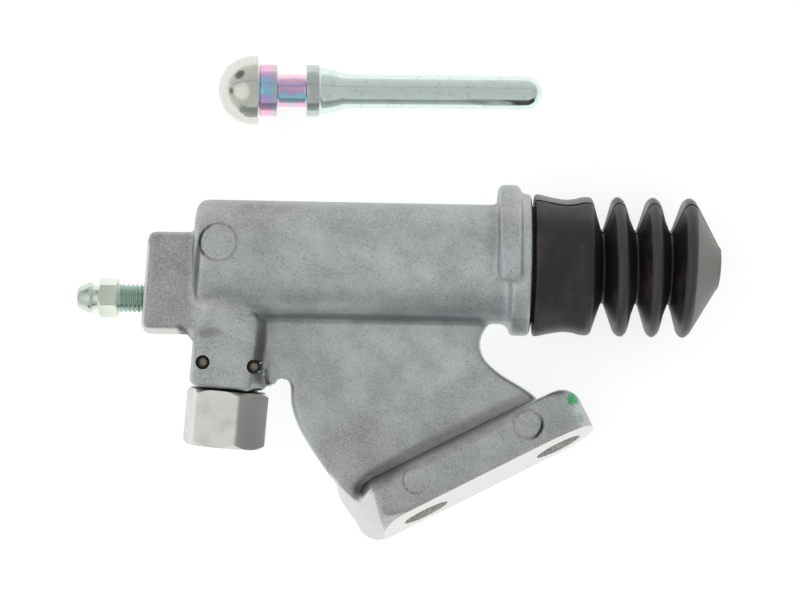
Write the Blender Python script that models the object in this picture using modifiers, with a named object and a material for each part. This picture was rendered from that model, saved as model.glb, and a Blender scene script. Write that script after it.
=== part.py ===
"""A hydraulic clutch slave cylinder with a flange, lying on its side beside its push rod.

X runs along the bore towards the boot, Y across the bench and Z up.
Local places are written from the centre of the mouth face, where the boot meets the casting.
"""

import math

import bmesh
import bpy
from mathutils import Matrix, Vector

MM = 0.001

# Clearances, and how far a joined shape reaches into its neighbour or a cutter past a wall
GAP = 0.3 * MM
PIN_CLEARANCE = 0.2 * MM
OVERLAP = 1.0 * MM
MERGE = 0.00001

# Bore and barrel
BORE_R = 9.525 * MM
BARREL_R = 13.75 * MM
BARREL_LENGTH = 77.0 * MM
BARREL_EDGE_R = 2.2 * MM
BORE_END_WALL = 4.5 * MM
COLLAR_R = 16.4 * MM
COLLAR_LENGTH = 4.7 * MM
COLLAR_EDGE = 0.5 * MM
SPIGOT_R = 13.2 * MM
SPIGOT_LENGTH = 11.5 * MM
SPIGOT_GROOVE_X = 5.6 * MM
SPIGOT_GROOVE_WIDTH = 3.2 * MM
SPIGOT_GROOVE_DEPTH = 1.0 * MM
BORE_CHAMFER = 0.8 * MM

# Locating rib round the top of the barrel
RIB_R = 18.45 * MM
RIB_WIDTH = 5.2 * MM
RIB_SETBACK = 2.5 * MM
RIB_FRONT_ANGLE = math.radians(-13.0)
RIB_BACK_ANGLE = math.radians(150.0)
RIB_EDGE_R = 1.2 * MM

# Bleed block at the closed end, and the gallery boss that runs on under the barrel
BLOCK_LENGTH = 12.1 * MM
BLOCK_TOP = 6.0 * MM
BLOCK_HALF_DEPTH = 8.3 * MM
BLOCK_EDGE_R = 1.8 * MM
GALLERY_Y = -9.4 * MM
GALLERY_R = 8.0 * MM
GALLERY_REACH = 13.0 * MM
GALLERY_BURY = 4.0 * MM

# Pipe port: a boss whose axis leans towards the bleed screw
PORT_X = -68.7 * MM
PORT_Y = -24.05 * MM
PORT_LEAN = math.radians(4.0)
PORT_HALF_WIDTH = 9.2 * MM
PORT_HALF_DEPTH = 9.0 * MM
PORT_CORNER_R = 4.5 * MM
PORT_FACE = 5.6 * MM
PORT_ROOT = 17.0 * MM
SOCKET_R = 7.15 * MM
SOCKET_END = 10.2 * MM
SOCKET_CONE = 1.8 * MM
FEED_R = 2.0 * MM

# Pipe union, held by two hollow pins in its groove
UNION_FLATS = 17.0 * MM
UNION_HEX_LENGTH = 13.3 * MM
UNION_HEX_TURN = math.radians(18.0)
UNION_HEX_CHAMFER = 1.3 * MM
UNION_STEM_END = 9.2 * MM
UNION_GROOVE_R = 4.0 * MM
UNION_BORE_R = 2.0 * MM
UNION_THREAD_R = 5.0 * MM
UNION_THREAD_DEPTH = 11.0 * MM
SEAL_GROOVE_X = 7.3 * MM
SEAL_GROOVE_WIDTH = 2.5 * MM
SEAL_GROOVE_R = 4.8 * MM
PIN_R = 1.5 * MM
PIN_BORE_R = 0.9 * MM
PIN_SLOT = 0.5 * MM
PIN_SLOT_TURN = math.radians(36.0)
PIN_SPACING = 11.7 * MM
PIN_SINK = 0.3 * MM

# Bleed screw
BLEED_THREAD_R = 3.3 * MM
BLEED_FLATS = 8.0 * MM
BLEED_HEX_TURN = math.radians(10.0)
BLEED_HEX_START = 5.7 * MM
BLEED_HEX_LENGTH = 4.4 * MM
BLEED_HEX_CHAMFER = 0.9 * MM
BLEED_NECK_LENGTH = 1.6 * MM
BLEED_NECK_R = 2.8 * MM
BLEED_BARB_LENGTH = 3.4 * MM
BLEED_BARB_R = 3.55 * MM
BLEED_BARB_LAND = 0.7 * MM
BLEED_TIP_R = 2.3 * MM
BLEED_BORE_R = 1.1 * MM
BLEED_CROSS_R = 0.9 * MM
BLEED_THREAD_INSIDE = 8.2 * MM
BLEED_NOSE_LENGTH = 2.6 * MM
BLEED_NOSE_R = 2.3 * MM
BLEED_SEAT_LENGTH = 1.2 * MM
BLEED_SEAT_R = 1.2 * MM

# Flange: its long way leans up towards the boot, and its mount face leans back
FLANGE_ANGLE = math.radians(27.6)
MOUNT_TILT = math.radians(12.0)
HOLES_X = -7.55 * MM
HOLES_Y = -50.1 * MM
HOLES_Z = -6.5 * MM
HOLE_SPACING = 34.4 * MM
HOLE_R = 5.6 * MM
FLANGE_LEFT = 27.2 * MM
FLANGE_RIGHT = 26.4 * MM
FLANGE_THICKNESS = 14.0 * MM
FLANGE_FRONT = 9.0 * MM
FLANGE_LEFT_R = 8.0 * MM
FLANGE_RIGHT_R = 11.5 * MM
HEAD_POCKET_R = 8.5 * MM
HEAD_POCKET_DEPTH = 8.0 * MM

# Web between the barrel and the flange, with the corners of its two curved sides
WEB_HALF_THICKNESS = 2.6 * MM
WEB_BURY = 5.5 * MM
WEB_HEEL = 3.0 * MM
NOTCH_X = -56.9 * MM
NOTCH_Y = -29.3 * MM
NOTCH_R = 2.2 * MM
WEB_LEFT_X = [-54.6 * MM, -54.3 * MM, -51.6 * MM, -44.4 * MM, -38.4 * MM, -35.2 * MM]
WEB_LEFT_Y = [NOTCH_Y, -34.0 * MM, -40.4 * MM, -50.6 * MM, -60.8 * MM, -64.4 * MM]
WEB_RIGHT_X = [1.8 * MM, -6.4 * MM, -10.3 * MM, -11.1 * MM, -9.6 * MM, -7.4 * MM]
WEB_RIGHT_Y = [-30.4 * MM, -25.2 * MM, -21.5 * MM, -17.7 * MM, -14.2 * MM, -11.0 * MM]

# Height of the bore's axis over the bench: the flange's back edge and the boot lie on it
AXIS_HEIGHT = 16.5 * MM

# Piston group
PISTON_LENGTH = 22.0 * MM
PISTON_NOSE_R = 4.2 * MM
PISTON_NOSE_LENGTH = 4.2 * MM
PISTON_EDGE = 0.6 * MM
SOCKET_MOUTH_R = 6.4 * MM
SOCKET_BALL_R = 4.4 * MM
SOCKET_BALL_ANGLE = math.radians(70.0)
SOCKET_DEPTH = 12.0 * MM
PISTON_SEAL_X = 7.0 * MM
PISTON_SEAL_WIDTH = 3.4 * MM
PISTON_SEAL_R = 7.0 * MM
CUP_LENGTH = 3.8 * MM
SEAT_THICKNESS = 1.0 * MM
SEAT_R = 7.6 * MM
SEAT_HOLE_R = 2.2 * MM
STOP_GROOVE_SETBACK = 2.2 * MM
STOP_GROOVE_DEPTH = 1.1 * MM
STOP_RING_THICKNESS = 1.2 * MM
STOP_RING_WIDTH = 1.9 * MM
STOP_RING_OPENING = 5.0 * MM
SPRING_WIRE_R = 0.6 * MM
SPRING_TURNS = 9
SPRING_BIG_R = 8.0 * MM
SPRING_SMALL_R = 5.4 * MM
SPRING_END_PITCH = 1.44 * MM
SPRING_STEPS = 12

# Dust boot
BOOT_LIP_R = 16.4 * MM
BOOT_WAIST_R = 15.3 * MM
BOOT_SHOULDER_R = 16.0 * MM
BOOT_START = 0.7 * MM
BOOT_LIP_LENGTH = 4.5 * MM
BOOT_SHOULDER_LENGTH = 3.8 * MM
BOOT_COLLAR_END = 14.3 * MM
BOOT_VALLEY_R = 8.3 * MM
BOOT_CREST_R = 16.1 * MM
BOOT_CREST_WIDTH = 2.2 * MM
BOOT_FIRST_CREST = 20.4 * MM
BOOT_PITCH = 7.75 * MM
BOOT_FOLDS = 3
BOOT_WALL = 1.2 * MM
BOOT_FOLD_WALL = 1.8 * MM
BOOT_ROUNDING = 1.0 * MM
BOOT_END = 43.9 * MM
BOOT_TIP_R = 5.0 * MM
BOOT_HOLE_R = 3.6 * MM
BOOT_BEAD_LENGTH = 2.4 * MM

# Push rod, lying apart on the bench beside the cylinder
ROD_HEAD_R = 8.05 * MM
ROD_TIP_R = 4.02 * MM
ROD_LENGTH = 76.1 * MM
ROD_HEAD_LENGTH = 9.3 * MM
ROD_COLLAR_R = 6.05 * MM
ROD_SECOND_START = 9.6 * MM
ROD_SECOND_END = 13.7 * MM
ROD_NECK_R = 3.85 * MM
ROD_THIRD_START = 20.5 * MM
ROD_THIRD_END = 23.6 * MM
ROD_CONE_END = 31.2 * MM
ROD_HEAD_X = -65.2 * MM
ROD_HEAD_Y = 39.8 * MM
ROD_TURN = math.radians(0.8)

# Facets round each kind of turned shape, and along arcs and curves
BIG_STEPS = 44
MIDDLE_STEPS = 30
SMALL_STEPS = 20
DRILL_STEPS = 12
SEAL_STEPS = 10
HEX_SIDES = 6
EDGE_STEPS = 3
ROUND_STEPS = 4
CORNER_STEPS = 5
SMOOTH_ANGLE = math.radians(35.0)

ALONG = Vector((1.0, 0.0, 0.0))
UPWARD = Vector((0.0, 0.0, 1.0))
MOUTH = Vector((0.0, 0.0, 0.0))


def polar(centre, radius, start, end, count):
    """Points on an arc, as (along, out) pairs, from one angle to another."""
    step = (end - start) / count
    angles = [start + step * index for index in range(count + 1)]
    along, out = centre
    return [(along + radius * math.cos(angle), out + radius * math.sin(angle)) for angle in angles]


def clear_scene():
    for obj in list(bpy.data.objects):
        bpy.data.objects.remove(obj)


def new_collection(name, hidden):
    collection = bpy.data.collections.new(name)
    bpy.context.scene.collection.children.link(collection)
    collection.hide_render = hidden
    return collection


def material(name, colour, roughness, metallic):
    made = bpy.data.materials.new(name)
    made.use_nodes = True
    shader = made.node_tree.nodes["Principled BSDF"]
    shader.inputs["Base Color"].default_value = (*colour, 1.0)
    shader.inputs["Roughness"].default_value = roughness
    shader.inputs["Metallic"].default_value = metallic
    made.diffuse_color = (*colour, 1.0)
    return made


def add_object(name, mesh, base=MOUTH, axis=UPWARD, turn=0.0):
    """An object under the mouth's empty, with its local Z along the axis."""
    obj = bpy.data.objects.new(name, mesh)
    cutters.objects.link(obj)
    obj.parent = mouth_empty
    facing = UPWARD.rotation_difference(axis).to_matrix().to_4x4()
    obj.matrix_local = Matrix.Translation(base) @ facing @ Matrix.Rotation(turn, 4, "Z")
    obj.hide_render = True
    obj.display_type = "WIRE"
    return obj


def keep(obj, finish):
    """Turns a helper into a finished piece of the cylinder."""
    cutters.objects.unlink(obj)
    pieces.objects.link(obj)
    obj.hide_render = False
    obj.display_type = "TEXTURED"
    obj.data.materials.append(finish)
    if obj.type == "MESH":
        obj.data.shade_smooth()
        obj.data.set_sharp_from_angle(angle=SMOOTH_ANGLE)
    return obj


def turned(name, path, base=MOUTH, axis=ALONG, steps=MIDDLE_STEPS, closed=False, turn=0.0):
    """A turned solid. The path is (distance along the axis, radius), closed for a ring."""
    ring = path + [path[0]]
    area = sum(a[1] * b[0] - b[1] * a[0] for a, b in zip(ring, ring[1:], strict=False))
    ordered = path[::-1] if area > 0 else path
    mesh = bpy.data.meshes.new(name)
    edges = [(i, i + 1) for i in range(len(ordered) - 1)]
    if closed:
        edges.append((len(ordered) - 1, 0))
    mesh.from_pydata([(radius, 0.0, along) for along, radius in ordered], edges, [])
    obj = add_object(name, mesh, base, axis, turn)
    screw = obj.modifiers.new("Turning", "SCREW")
    screw.steps = steps
    screw.render_steps = steps
    screw.use_merge_vertices = True
    screw.merge_threshold = MERGE
    return obj


def cylinder(name, radius, start, end, base=MOUTH, axis=ALONG, steps=MIDDLE_STEPS, turn=0.0):
    """A plain round or many-sided bar between two distances along its axis."""
    mesh = bpy.data.meshes.new(name)
    shape = bmesh.new()
    place = Matrix.Translation((0.0, 0.0, (start + end) / 2))
    sizes = {"radius1": radius, "radius2": radius, "depth": end - start}
    bmesh.ops.create_cone(shape, cap_ends=True, segments=steps, matrix=place, **sizes)
    shape.to_mesh(mesh)
    shape.free()
    return add_object(name, mesh, base, axis, turn)


def box(name, low, high, edge=0.0, base=MOUTH, axis=UPWARD, turn=0.0):
    """A box between two corners, with its edges rounded where an edge radius is given."""
    mesh = bpy.data.meshes.new(name)
    shape = bmesh.new()
    size = Vector(high) - Vector(low)
    centre = (Vector(high) + Vector(low)) / 2
    place = Matrix.Translation(centre) @ Matrix.Diagonal((*size, 1.0))
    bmesh.ops.create_cube(shape, size=1.0, matrix=place)
    shape.to_mesh(mesh)
    shape.free()
    obj = add_object(name, mesh, base, axis, turn)
    if edge:
        bevel = obj.modifiers.new("Edges", "BEVEL")
        bevel.width = edge
        bevel.segments = EDGE_STEPS
    return obj


def outline(name, points, low, high, base=MOUTH, facing=None, smooth=()):
    """A flat outline made a slab from low to high along its local Z. Points named smooth are curved."""
    curve = bpy.data.curves.new(name, "CURVE")
    curve.dimensions = "2D"
    curve.fill_mode = "BOTH"
    curve.extrude = (high - low) / 2
    curve.resolution_u = EDGE_STEPS
    spline = curve.splines.new("BEZIER")
    spline.bezier_points.add(len(points) - 1)
    for index, (knot, (across, up)) in enumerate(zip(spline.bezier_points, points, strict=True)):
        knot.co = (across, up, 0.0)
        kind = "AUTO" if index in smooth else "VECTOR"
        knot.handle_left_type = kind
        knot.handle_right_type = kind
    spline.use_cyclic_u = True
    guide = bpy.data.objects.new(name + "_guide", curve)
    cutters.objects.link(guide)
    bpy.context.view_layer.update()
    mesh = bpy.data.meshes.new_from_object(guide.evaluated_get(bpy.context.evaluated_depsgraph_get()))
    bpy.data.objects.remove(guide)
    shape = bmesh.new()
    shape.from_mesh(mesh)
    bmesh.ops.remove_doubles(shape, verts=shape.verts, dist=MERGE)
    bmesh.ops.translate(shape, verts=shape.verts, vec=(0.0, 0.0, (low + high) / 2))
    bmesh.ops.recalc_face_normals(shape, faces=shape.faces)
    shape.to_mesh(mesh)
    shape.free()
    mesh.name = name
    obj = add_object(name, mesh)
    obj.matrix_local = Matrix.Translation(base) @ (facing or Matrix.Identity(4))
    return obj


def rounded_rectangle(left, right, low, high, left_r, right_r):
    """The corners of a rectangle as arcs, anticlockwise from the lower right."""
    quarter = math.pi / 2
    corners = [
        (right - right_r, low + right_r, right_r),
        (right - right_r, high - right_r, right_r),
        (left + left_r, high - left_r, left_r),
        (left + left_r, low + left_r, left_r),
    ]
    points = []
    for index, (across, up, radius) in enumerate(corners):
        points += polar((across, up), radius, (index - 1) * quarter, index * quarter, CORNER_STEPS)
    return points


def boolean(target, other, operation):
    modifier = target.modifiers.new(other.name, "BOOLEAN")
    modifier.operation = operation
    modifier.object = other
    modifier.solver = "EXACT"


def join(target, *others):
    for other in others:
        boolean(target, other, "UNION")


def cut(target, *others):
    for other in others:
        boolean(target, other, "DIFFERENCE")


def chamfered_hex(name, flats, start, end, chamfer, both_ends, base, axis, turn):
    """A hexagonal bar whose corners are turned off at an angle."""
    corner_r = flats / math.sqrt(3.0)
    bar = cylinder(name, corner_r, start, end, base, axis, HEX_SIDES, turn)
    face_r = flats / 2
    far_r = corner_r + GAP
    near = [(start - GAP, 0.0), (start - GAP, far_r)]
    if both_ends:
        near = [(start, 0.0), (start, face_r), (start + chamfer, far_r)]
    path = near + [(end - chamfer, far_r), (end, face_r), (end, 0.0)]
    boolean(bar, turned(name + "_turning", path, base, axis, MIDDLE_STEPS), "INTERSECT")
    return bar


def port_axis():
    return Vector((-math.sin(PORT_LEAN), -math.cos(PORT_LEAN), 0.0))


def port_point(out, across=0.0):
    """A place from the pins' line: out along the port's axis, and across it towards the boot."""
    side = Vector((math.cos(PORT_LEAN), -math.sin(PORT_LEAN), 0.0))
    return Vector((PORT_X, PORT_Y, 0.0)) + out * port_axis() + across * side


def flange_way():
    return Vector((math.cos(FLANGE_ANGLE), math.sin(FLANGE_ANGLE), 0.0))


def flange_out():
    return Vector((math.sin(FLANGE_ANGLE), -math.cos(FLANGE_ANGLE), 0.0))


def mount_normal():
    return flange_out() * math.cos(MOUNT_TILT) + UPWARD * math.sin(MOUNT_TILT)


def holes_centre():
    return Vector((HOLES_X, HOLES_Y, HOLES_Z))


def piston_end():
    """Where the piston's outer end rests, against the stop ring."""
    return SPIGOT_LENGTH - STOP_GROOVE_SETBACK - STOP_RING_THICKNESS - 2 * GAP


def barrel_path():
    closed_end = -BARREL_LENGTH
    corner = (closed_end + BARREL_EDGE_R, BARREL_R - BARREL_EDGE_R)
    path = [(closed_end, 0.0)]
    path += polar(corner, BARREL_EDGE_R, math.pi, math.pi / 2, ROUND_STEPS)
    root = COLLAR_R - BARREL_R - COLLAR_EDGE
    path += polar((-COLLAR_LENGTH - root, BARREL_R + root), root, -math.pi / 2, 0.0, ROUND_STEPS)
    path += [(-COLLAR_LENGTH + COLLAR_EDGE, COLLAR_R), (-COLLAR_EDGE, COLLAR_R)]
    path += [(0.0, COLLAR_R - COLLAR_EDGE), (0.0, SPIGOT_R)]
    groove_end = SPIGOT_GROOVE_X + SPIGOT_GROOVE_WIDTH
    groove_r = SPIGOT_R - SPIGOT_GROOVE_DEPTH
    path += [(SPIGOT_GROOVE_X, SPIGOT_R), (SPIGOT_GROOVE_X, groove_r), (groove_end, groove_r)]
    path += [(groove_end, SPIGOT_R), (SPIGOT_LENGTH - COLLAR_EDGE, SPIGOT_R)]
    path += [(SPIGOT_LENGTH, SPIGOT_R - COLLAR_EDGE), (SPIGOT_LENGTH, 0.0)]
    return path


def bore_cutter():
    """The bore, blind at one end, with a stop ring's groove and a chamfer at its mouth."""
    bottom = -BARREL_LENGTH + BORE_END_WALL
    stop_start = SPIGOT_LENGTH - STOP_GROOVE_SETBACK
    stop_end = stop_start - STOP_RING_THICKNESS - 2 * GAP
    groove_r = BORE_R + STOP_GROOVE_DEPTH
    mouth = SPIGOT_LENGTH + BORE_CHAMFER
    path = [(bottom, 0.0), (bottom, BORE_R), (stop_end, BORE_R), (stop_end, groove_r)]
    path += [(stop_start, groove_r), (stop_start, BORE_R), (SPIGOT_LENGTH - BORE_CHAMFER, BORE_R)]
    path += [(mouth, BORE_R + 2 * BORE_CHAMFER), (mouth, 0.0)]
    return turned("bore_cutter", path, steps=BIG_STEPS)


def locating_rib():
    """A band round the top of the barrel: a turned ring, opened by a sector below."""
    low = BARREL_R - 2 * OVERLAP
    start = -RIB_SETBACK - RIB_WIDTH
    end = -RIB_SETBACK
    quarter = math.pi / 2
    path = [(start, low)]
    path += polar((start + RIB_EDGE_R, RIB_R - RIB_EDGE_R), RIB_EDGE_R, math.pi, quarter, EDGE_STEPS)
    path += polar((end - RIB_EDGE_R, RIB_R - RIB_EDGE_R), RIB_EDGE_R, quarter, 0.0, EDGE_STEPS)
    path += [(end, low)]
    rib = turned("rib", path, steps=BIG_STEPS, closed=True)
    middle = (RIB_FRONT_ANGLE + RIB_BACK_ANGLE) / 2
    half = (RIB_BACK_ANGLE - RIB_FRONT_ANGLE) / 2
    reach = 2 * RIB_R
    opening = [(0.0, 0.0)]
    opening += polar((0.0, 0.0), reach, middle + half, middle + 2 * math.pi - half, ROUND_STEPS)
    # The sector is drawn in the plane across the bore, with its angles counted from Z towards Y.
    facing = Matrix(((0, 0, -1, 0), (0, 1, 0, 0), (1, 0, 0, 0), (0, 0, 0, 1)))
    far = RIB_SETBACK + RIB_WIDTH + GAP
    cut(rib, outline("rib_opening", opening, RIB_SETBACK - GAP, far, facing=facing))
    return rib


def bleed_block():
    start = -BARREL_LENGTH - BLOCK_LENGTH
    low = (start, GALLERY_Y - BLOCK_HALF_DEPTH, -BLOCK_HALF_DEPTH)
    high = (-BARREL_LENGTH + BARREL_EDGE_R + OVERLAP, BLOCK_TOP, BLOCK_HALF_DEPTH)
    return box("bleed_block", low, high, BLOCK_EDGE_R)


def gallery_boss():
    base = Vector((0.0, GALLERY_Y, 0.0))
    start = -BARREL_LENGTH - GALLERY_BURY
    return cylinder("gallery_boss", GALLERY_R, start, -BARREL_LENGTH + GALLERY_REACH, base)


def port_boss():
    """The boss is a rounded bar along the port's axis."""
    wide = PORT_HALF_WIDTH
    deep = PORT_HALF_DEPTH
    points = rounded_rectangle(-wide, wide, -deep, deep, PORT_CORNER_R, PORT_CORNER_R)
    side = Vector((math.cos(PORT_LEAN), -math.sin(PORT_LEAN), 0.0))
    out = port_axis()
    facing = Matrix((side, out.cross(side), out)).transposed().to_4x4()
    return outline("port_boss", points, -PORT_ROOT, PORT_FACE, port_point(0.0), facing)


def web():
    """The web's sides are curves. Its lower edge is buried in the flange."""
    buried = FLANGE_THICKNESS / 2
    heel = holes_centre() - flange_way() * (FLANGE_LEFT - WEB_HEEL) + flange_out() * OVERLAP
    left_foot = holes_centre() - flange_way() * (FLANGE_LEFT - buried) - flange_out() * buried
    right_foot = holes_centre() + flange_way() * (FLANGE_RIGHT - buried) - flange_out() * buried
    top = WEB_BURY - BARREL_R
    corner = [(PORT_X, top), (PORT_X, NOTCH_Y)]
    left = list(zip(WEB_LEFT_X, WEB_LEFT_Y, strict=True))
    foot = [(heel.x, heel.y), (left_foot.x, left_foot.y), (right_foot.x, right_foot.y)]
    right = list(zip(WEB_RIGHT_X, WEB_RIGHT_Y, strict=True))
    points = corner + left + foot + right + [(right[-1][0], top)]
    left_end = len(corner + left)
    right_start = left_end + len(foot)
    right_end = right_start + len(right) - 1
    smooth = [*range(len(corner) + 1, left_end), *range(right_start + 1, right_end)]
    slab = outline("web", points, -WEB_HALF_THICKNESS, WEB_HALF_THICKNESS, smooth=smooth)
    notch_base = Vector((NOTCH_X, NOTCH_Y, 0.0))
    notch = cylinder("web_notch", NOTCH_R, -GALLERY_R, GALLERY_R, notch_base, UPWARD, SMALL_STEPS)
    cut(slab, notch)
    return slab


def flange():
    """A block along the flange's way, with rounded ends and a mount face that leans back."""
    out = flange_out()
    way = flange_way()
    up = out.cross(way)
    low, high = (-AXIS_HEIGHT, FLANGE_FRONT) if up.z > 0 else (-FLANGE_FRONT, AXIS_HEIGHT)
    points = rounded_rectangle(-FLANGE_LEFT, FLANGE_RIGHT, low, high, FLANGE_LEFT_R, FLANGE_RIGHT_R)
    facing = Matrix((way, up, out)).transposed().to_4x4()
    base = Vector((HOLES_X, HOLES_Y, 0.0))
    slab = outline("flange", points, -FLANGE_THICKNESS, FLANGE_THICKNESS / 2, base, facing)
    reach = 2 * FLANGE_LEFT
    corners = ((-reach, -reach, 0.0), (reach, reach, reach))
    cut(slab, box("mount_waste", *corners, base=holes_centre(), axis=mount_normal()))
    return slab


def bolt_cutters():
    """The two bolt holes, each with room for a bolt's head behind the web."""
    made = []
    for index, sign in enumerate((-1, 1)):
        base = holes_centre() + flange_way() * (sign * HOLE_SPACING / 2)
        back = -2 * FLANGE_THICKNESS
        hole = cylinder(f"bolt_hole_{index}", HOLE_R, back, FLANGE_THICKNESS, base, mount_normal())
        seat = -FLANGE_THICKNESS - HOLE_R * math.sin(MOUNT_TILT)
        far = seat - HEAD_POCKET_DEPTH
        pocket = cylinder(f"head_pocket_{index}", HEAD_POCKET_R, far, seat, base, mount_normal())
        made += [hole, pocket]
    return made


def port_cutter():
    """The union's socket, a lead-in cone at its end and the drilling into the bore."""
    rim = PORT_FACE + OVERLAP
    into_bore = (abs(PORT_Y) - BORE_R + 2 * OVERLAP) / math.cos(PORT_LEAN)
    path = [(rim, 0.0), (rim, SOCKET_R), (-SOCKET_END, SOCKET_R)]
    path += [(-SOCKET_END - SOCKET_CONE, FEED_R), (-into_bore, FEED_R), (-into_bore, 0.0)]
    return turned("port_cutter", path, port_point(0.0), port_axis())


def bleed_face():
    return -BARREL_LENGTH - BLOCK_LENGTH


def bleed_cutter():
    """The bleed screw's threaded hole, its seat and the drilling into the bore."""
    base = Vector((0.0, GALLERY_Y, 0.0))
    seat = bleed_face() + BLEED_THREAD_INSIDE + BLEED_NOSE_LENGTH
    radius = BLEED_THREAD_R + GAP
    end = -BARREL_LENGTH + BORE_END_WALL + 2 * OVERLAP
    drill_r = BLEED_SEAT_R + GAP
    outside = bleed_face() - OVERLAP
    path = [(outside, 0.0), (outside, radius + OVERLAP), (bleed_face() + GAP, radius)]
    path += [(seat, radius), (seat + BLEED_SEAT_LENGTH, drill_r), (end, drill_r), (end, 0.0)]
    return turned("bleed_cutter", path, base, steps=SMALL_STEPS)


def cylinder_body(finish):
    body = turned("cylinder_body", barrel_path(), steps=BIG_STEPS)
    join(body, locating_rib(), bleed_block(), gallery_boss(), port_boss(), web(), flange())
    cut(body, bore_cutter(), port_cutter(), bleed_cutter(), *bolt_cutters())
    for index, sign in enumerate((-1, 1)):
        base = port_point(0.0, sign * PIN_SPACING / 2)
        reach = PORT_HALF_DEPTH + OVERLAP
        radius = PIN_R + PIN_CLEARANCE
        cut(body, cylinder(f"pin_hole_{index}", radius, -reach, reach, base, UPWARD, SMALL_STEPS))
    return keep(body, finish)


def pipe_union(finish):
    """A hexagon with a thread for the pipe nut, on a stem with a groove for the pins and one for a seal."""
    start = PORT_FACE + GAP
    end = start + UNION_HEX_LENGTH
    base = port_point(0.0)
    edges = (UNION_HEX_CHAMFER, True)
    place = (base, port_axis(), UNION_HEX_TURN)
    hexagon = chamfered_hex("pipe_union", UNION_FLATS, start, end, *edges, *place)
    stem_r = SOCKET_R - GAP
    groove = PIN_R + GAP
    seal_start = SEAL_GROOVE_X - SEAL_GROOVE_WIDTH / 2
    seal_end = SEAL_GROOVE_X + SEAL_GROOVE_WIDTH / 2
    path = [(start + GAP, 0.0), (start + GAP, stem_r), (groove, stem_r), (groove, UNION_GROOVE_R)]
    path += [(-groove, UNION_GROOVE_R), (-groove, stem_r), (-seal_start, stem_r)]
    path += [(-seal_start, SEAL_GROOVE_R), (-seal_end, SEAL_GROOVE_R)]
    path += [(-seal_end, stem_r), (-UNION_STEM_END + GAP, stem_r)]
    path += [(-UNION_STEM_END, stem_r - GAP), (-UNION_STEM_END, 0.0)]
    join(hexagon, turned("union_stem", path, base, port_axis()))
    thread_end = end - UNION_THREAD_DEPTH
    outside = end + OVERLAP
    inside = -UNION_STEM_END - OVERLAP
    bore = [(outside, 0.0), (outside, UNION_THREAD_R), (thread_end + UNION_THREAD_R / 2, UNION_THREAD_R)]
    bore += [(thread_end, UNION_BORE_R), (inside, UNION_BORE_R), (inside, 0.0)]
    cut(hexagon, turned("union_bore", bore, base, port_axis()))
    return keep(hexagon, finish)


def union_seal(finish):
    """A round-section ring in the union's inner groove."""
    low = SEAL_GROOVE_R + GAP
    high = SOCKET_R - GAP
    radius = (high - low) / 2
    path = polar((-SEAL_GROOVE_X, (high + low) / 2), radius, 0.0, 2 * math.pi, SEAL_STEPS)[:-1]
    ring = turned("union_seal_ring", path, port_point(0.0), port_axis(), closed=True)
    return keep(ring, finish)


def roll_pins(finish):
    """Two hollow pins, slit along their length, across the union's groove."""
    half = PORT_HALF_DEPTH - PIN_SINK
    for name, sign in (("roll_pin_left", -1), ("roll_pin_right", 1)):
        base = port_point(0.0, sign * PIN_SPACING / 2)
        edge = PIN_SLOT / 2
        path = [(-half, PIN_BORE_R), (-half, PIN_R - edge), (-half + edge, PIN_R)]
        path += [(half - edge, PIN_R), (half, PIN_R - edge), (half, PIN_BORE_R)]
        pin = turned(name, path, base, UPWARD, SMALL_STEPS, closed=True)
        corners = ((0.0, -edge, -half - OVERLAP), (2 * PIN_R, edge, half + OVERLAP))
        cut(pin, box(name + "_slit", *corners, base=base, turn=PIN_SLOT_TURN))
        keep(pin, finish)


def bleed_screw(finish):
    """A hexagon with a thread and a seat one way and a hose nipple the other, drilled nearly through."""
    base = Vector((bleed_face(), GALLERY_Y, 0.0))
    outward = -ALONG
    hex_start = BLEED_HEX_START
    hex_end = hex_start + BLEED_HEX_LENGTH
    sizes = (BLEED_FLATS, hex_start, hex_end, BLEED_HEX_CHAMFER, False)
    screw = chamfered_hex("bleed_screw", *sizes, base, outward, BLEED_HEX_TURN)
    inside = -BLEED_THREAD_INSIDE
    nose = inside - BLEED_NOSE_LENGTH
    seat = nose - BLEED_SEAT_LENGTH + GAP
    neck = hex_end + BLEED_NECK_LENGTH
    tip = neck + BLEED_BARB_LENGTH
    path = [(seat, 0.0), (seat, BLEED_SEAT_R), (nose + GAP, BLEED_NOSE_R), (inside - GAP, BLEED_NOSE_R)]
    path += [(inside, BLEED_THREAD_R), (hex_start + GAP, BLEED_THREAD_R), (hex_start + GAP, BLEED_NECK_R)]
    path += [(neck, BLEED_NECK_R), (neck, BLEED_BARB_R), (neck + BLEED_BARB_LAND, BLEED_BARB_R)]
    path += [(tip - GAP, BLEED_TIP_R), (tip, BLEED_TIP_R - GAP), (tip, 0.0)]
    join(screw, turned("bleed_stem", path, base, outward, SMALL_STEPS))
    drill_end = inside - BLEED_NOSE_LENGTH / 2 - BLEED_BORE_R / 2
    drill = cylinder("bleed_drill", BLEED_BORE_R, drill_end, tip + OVERLAP, base, outward, DRILL_STEPS)
    cross_base = base + outward * (drill_end + BLEED_BORE_R)
    cross_end = 2 * BLEED_NOSE_R
    cross = cylinder("bleed_cross", BLEED_CROSS_R, 0.0, cross_end, cross_base, UPWARD, DRILL_STEPS)
    cut(screw, drill, cross)
    return keep(screw, finish)


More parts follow.
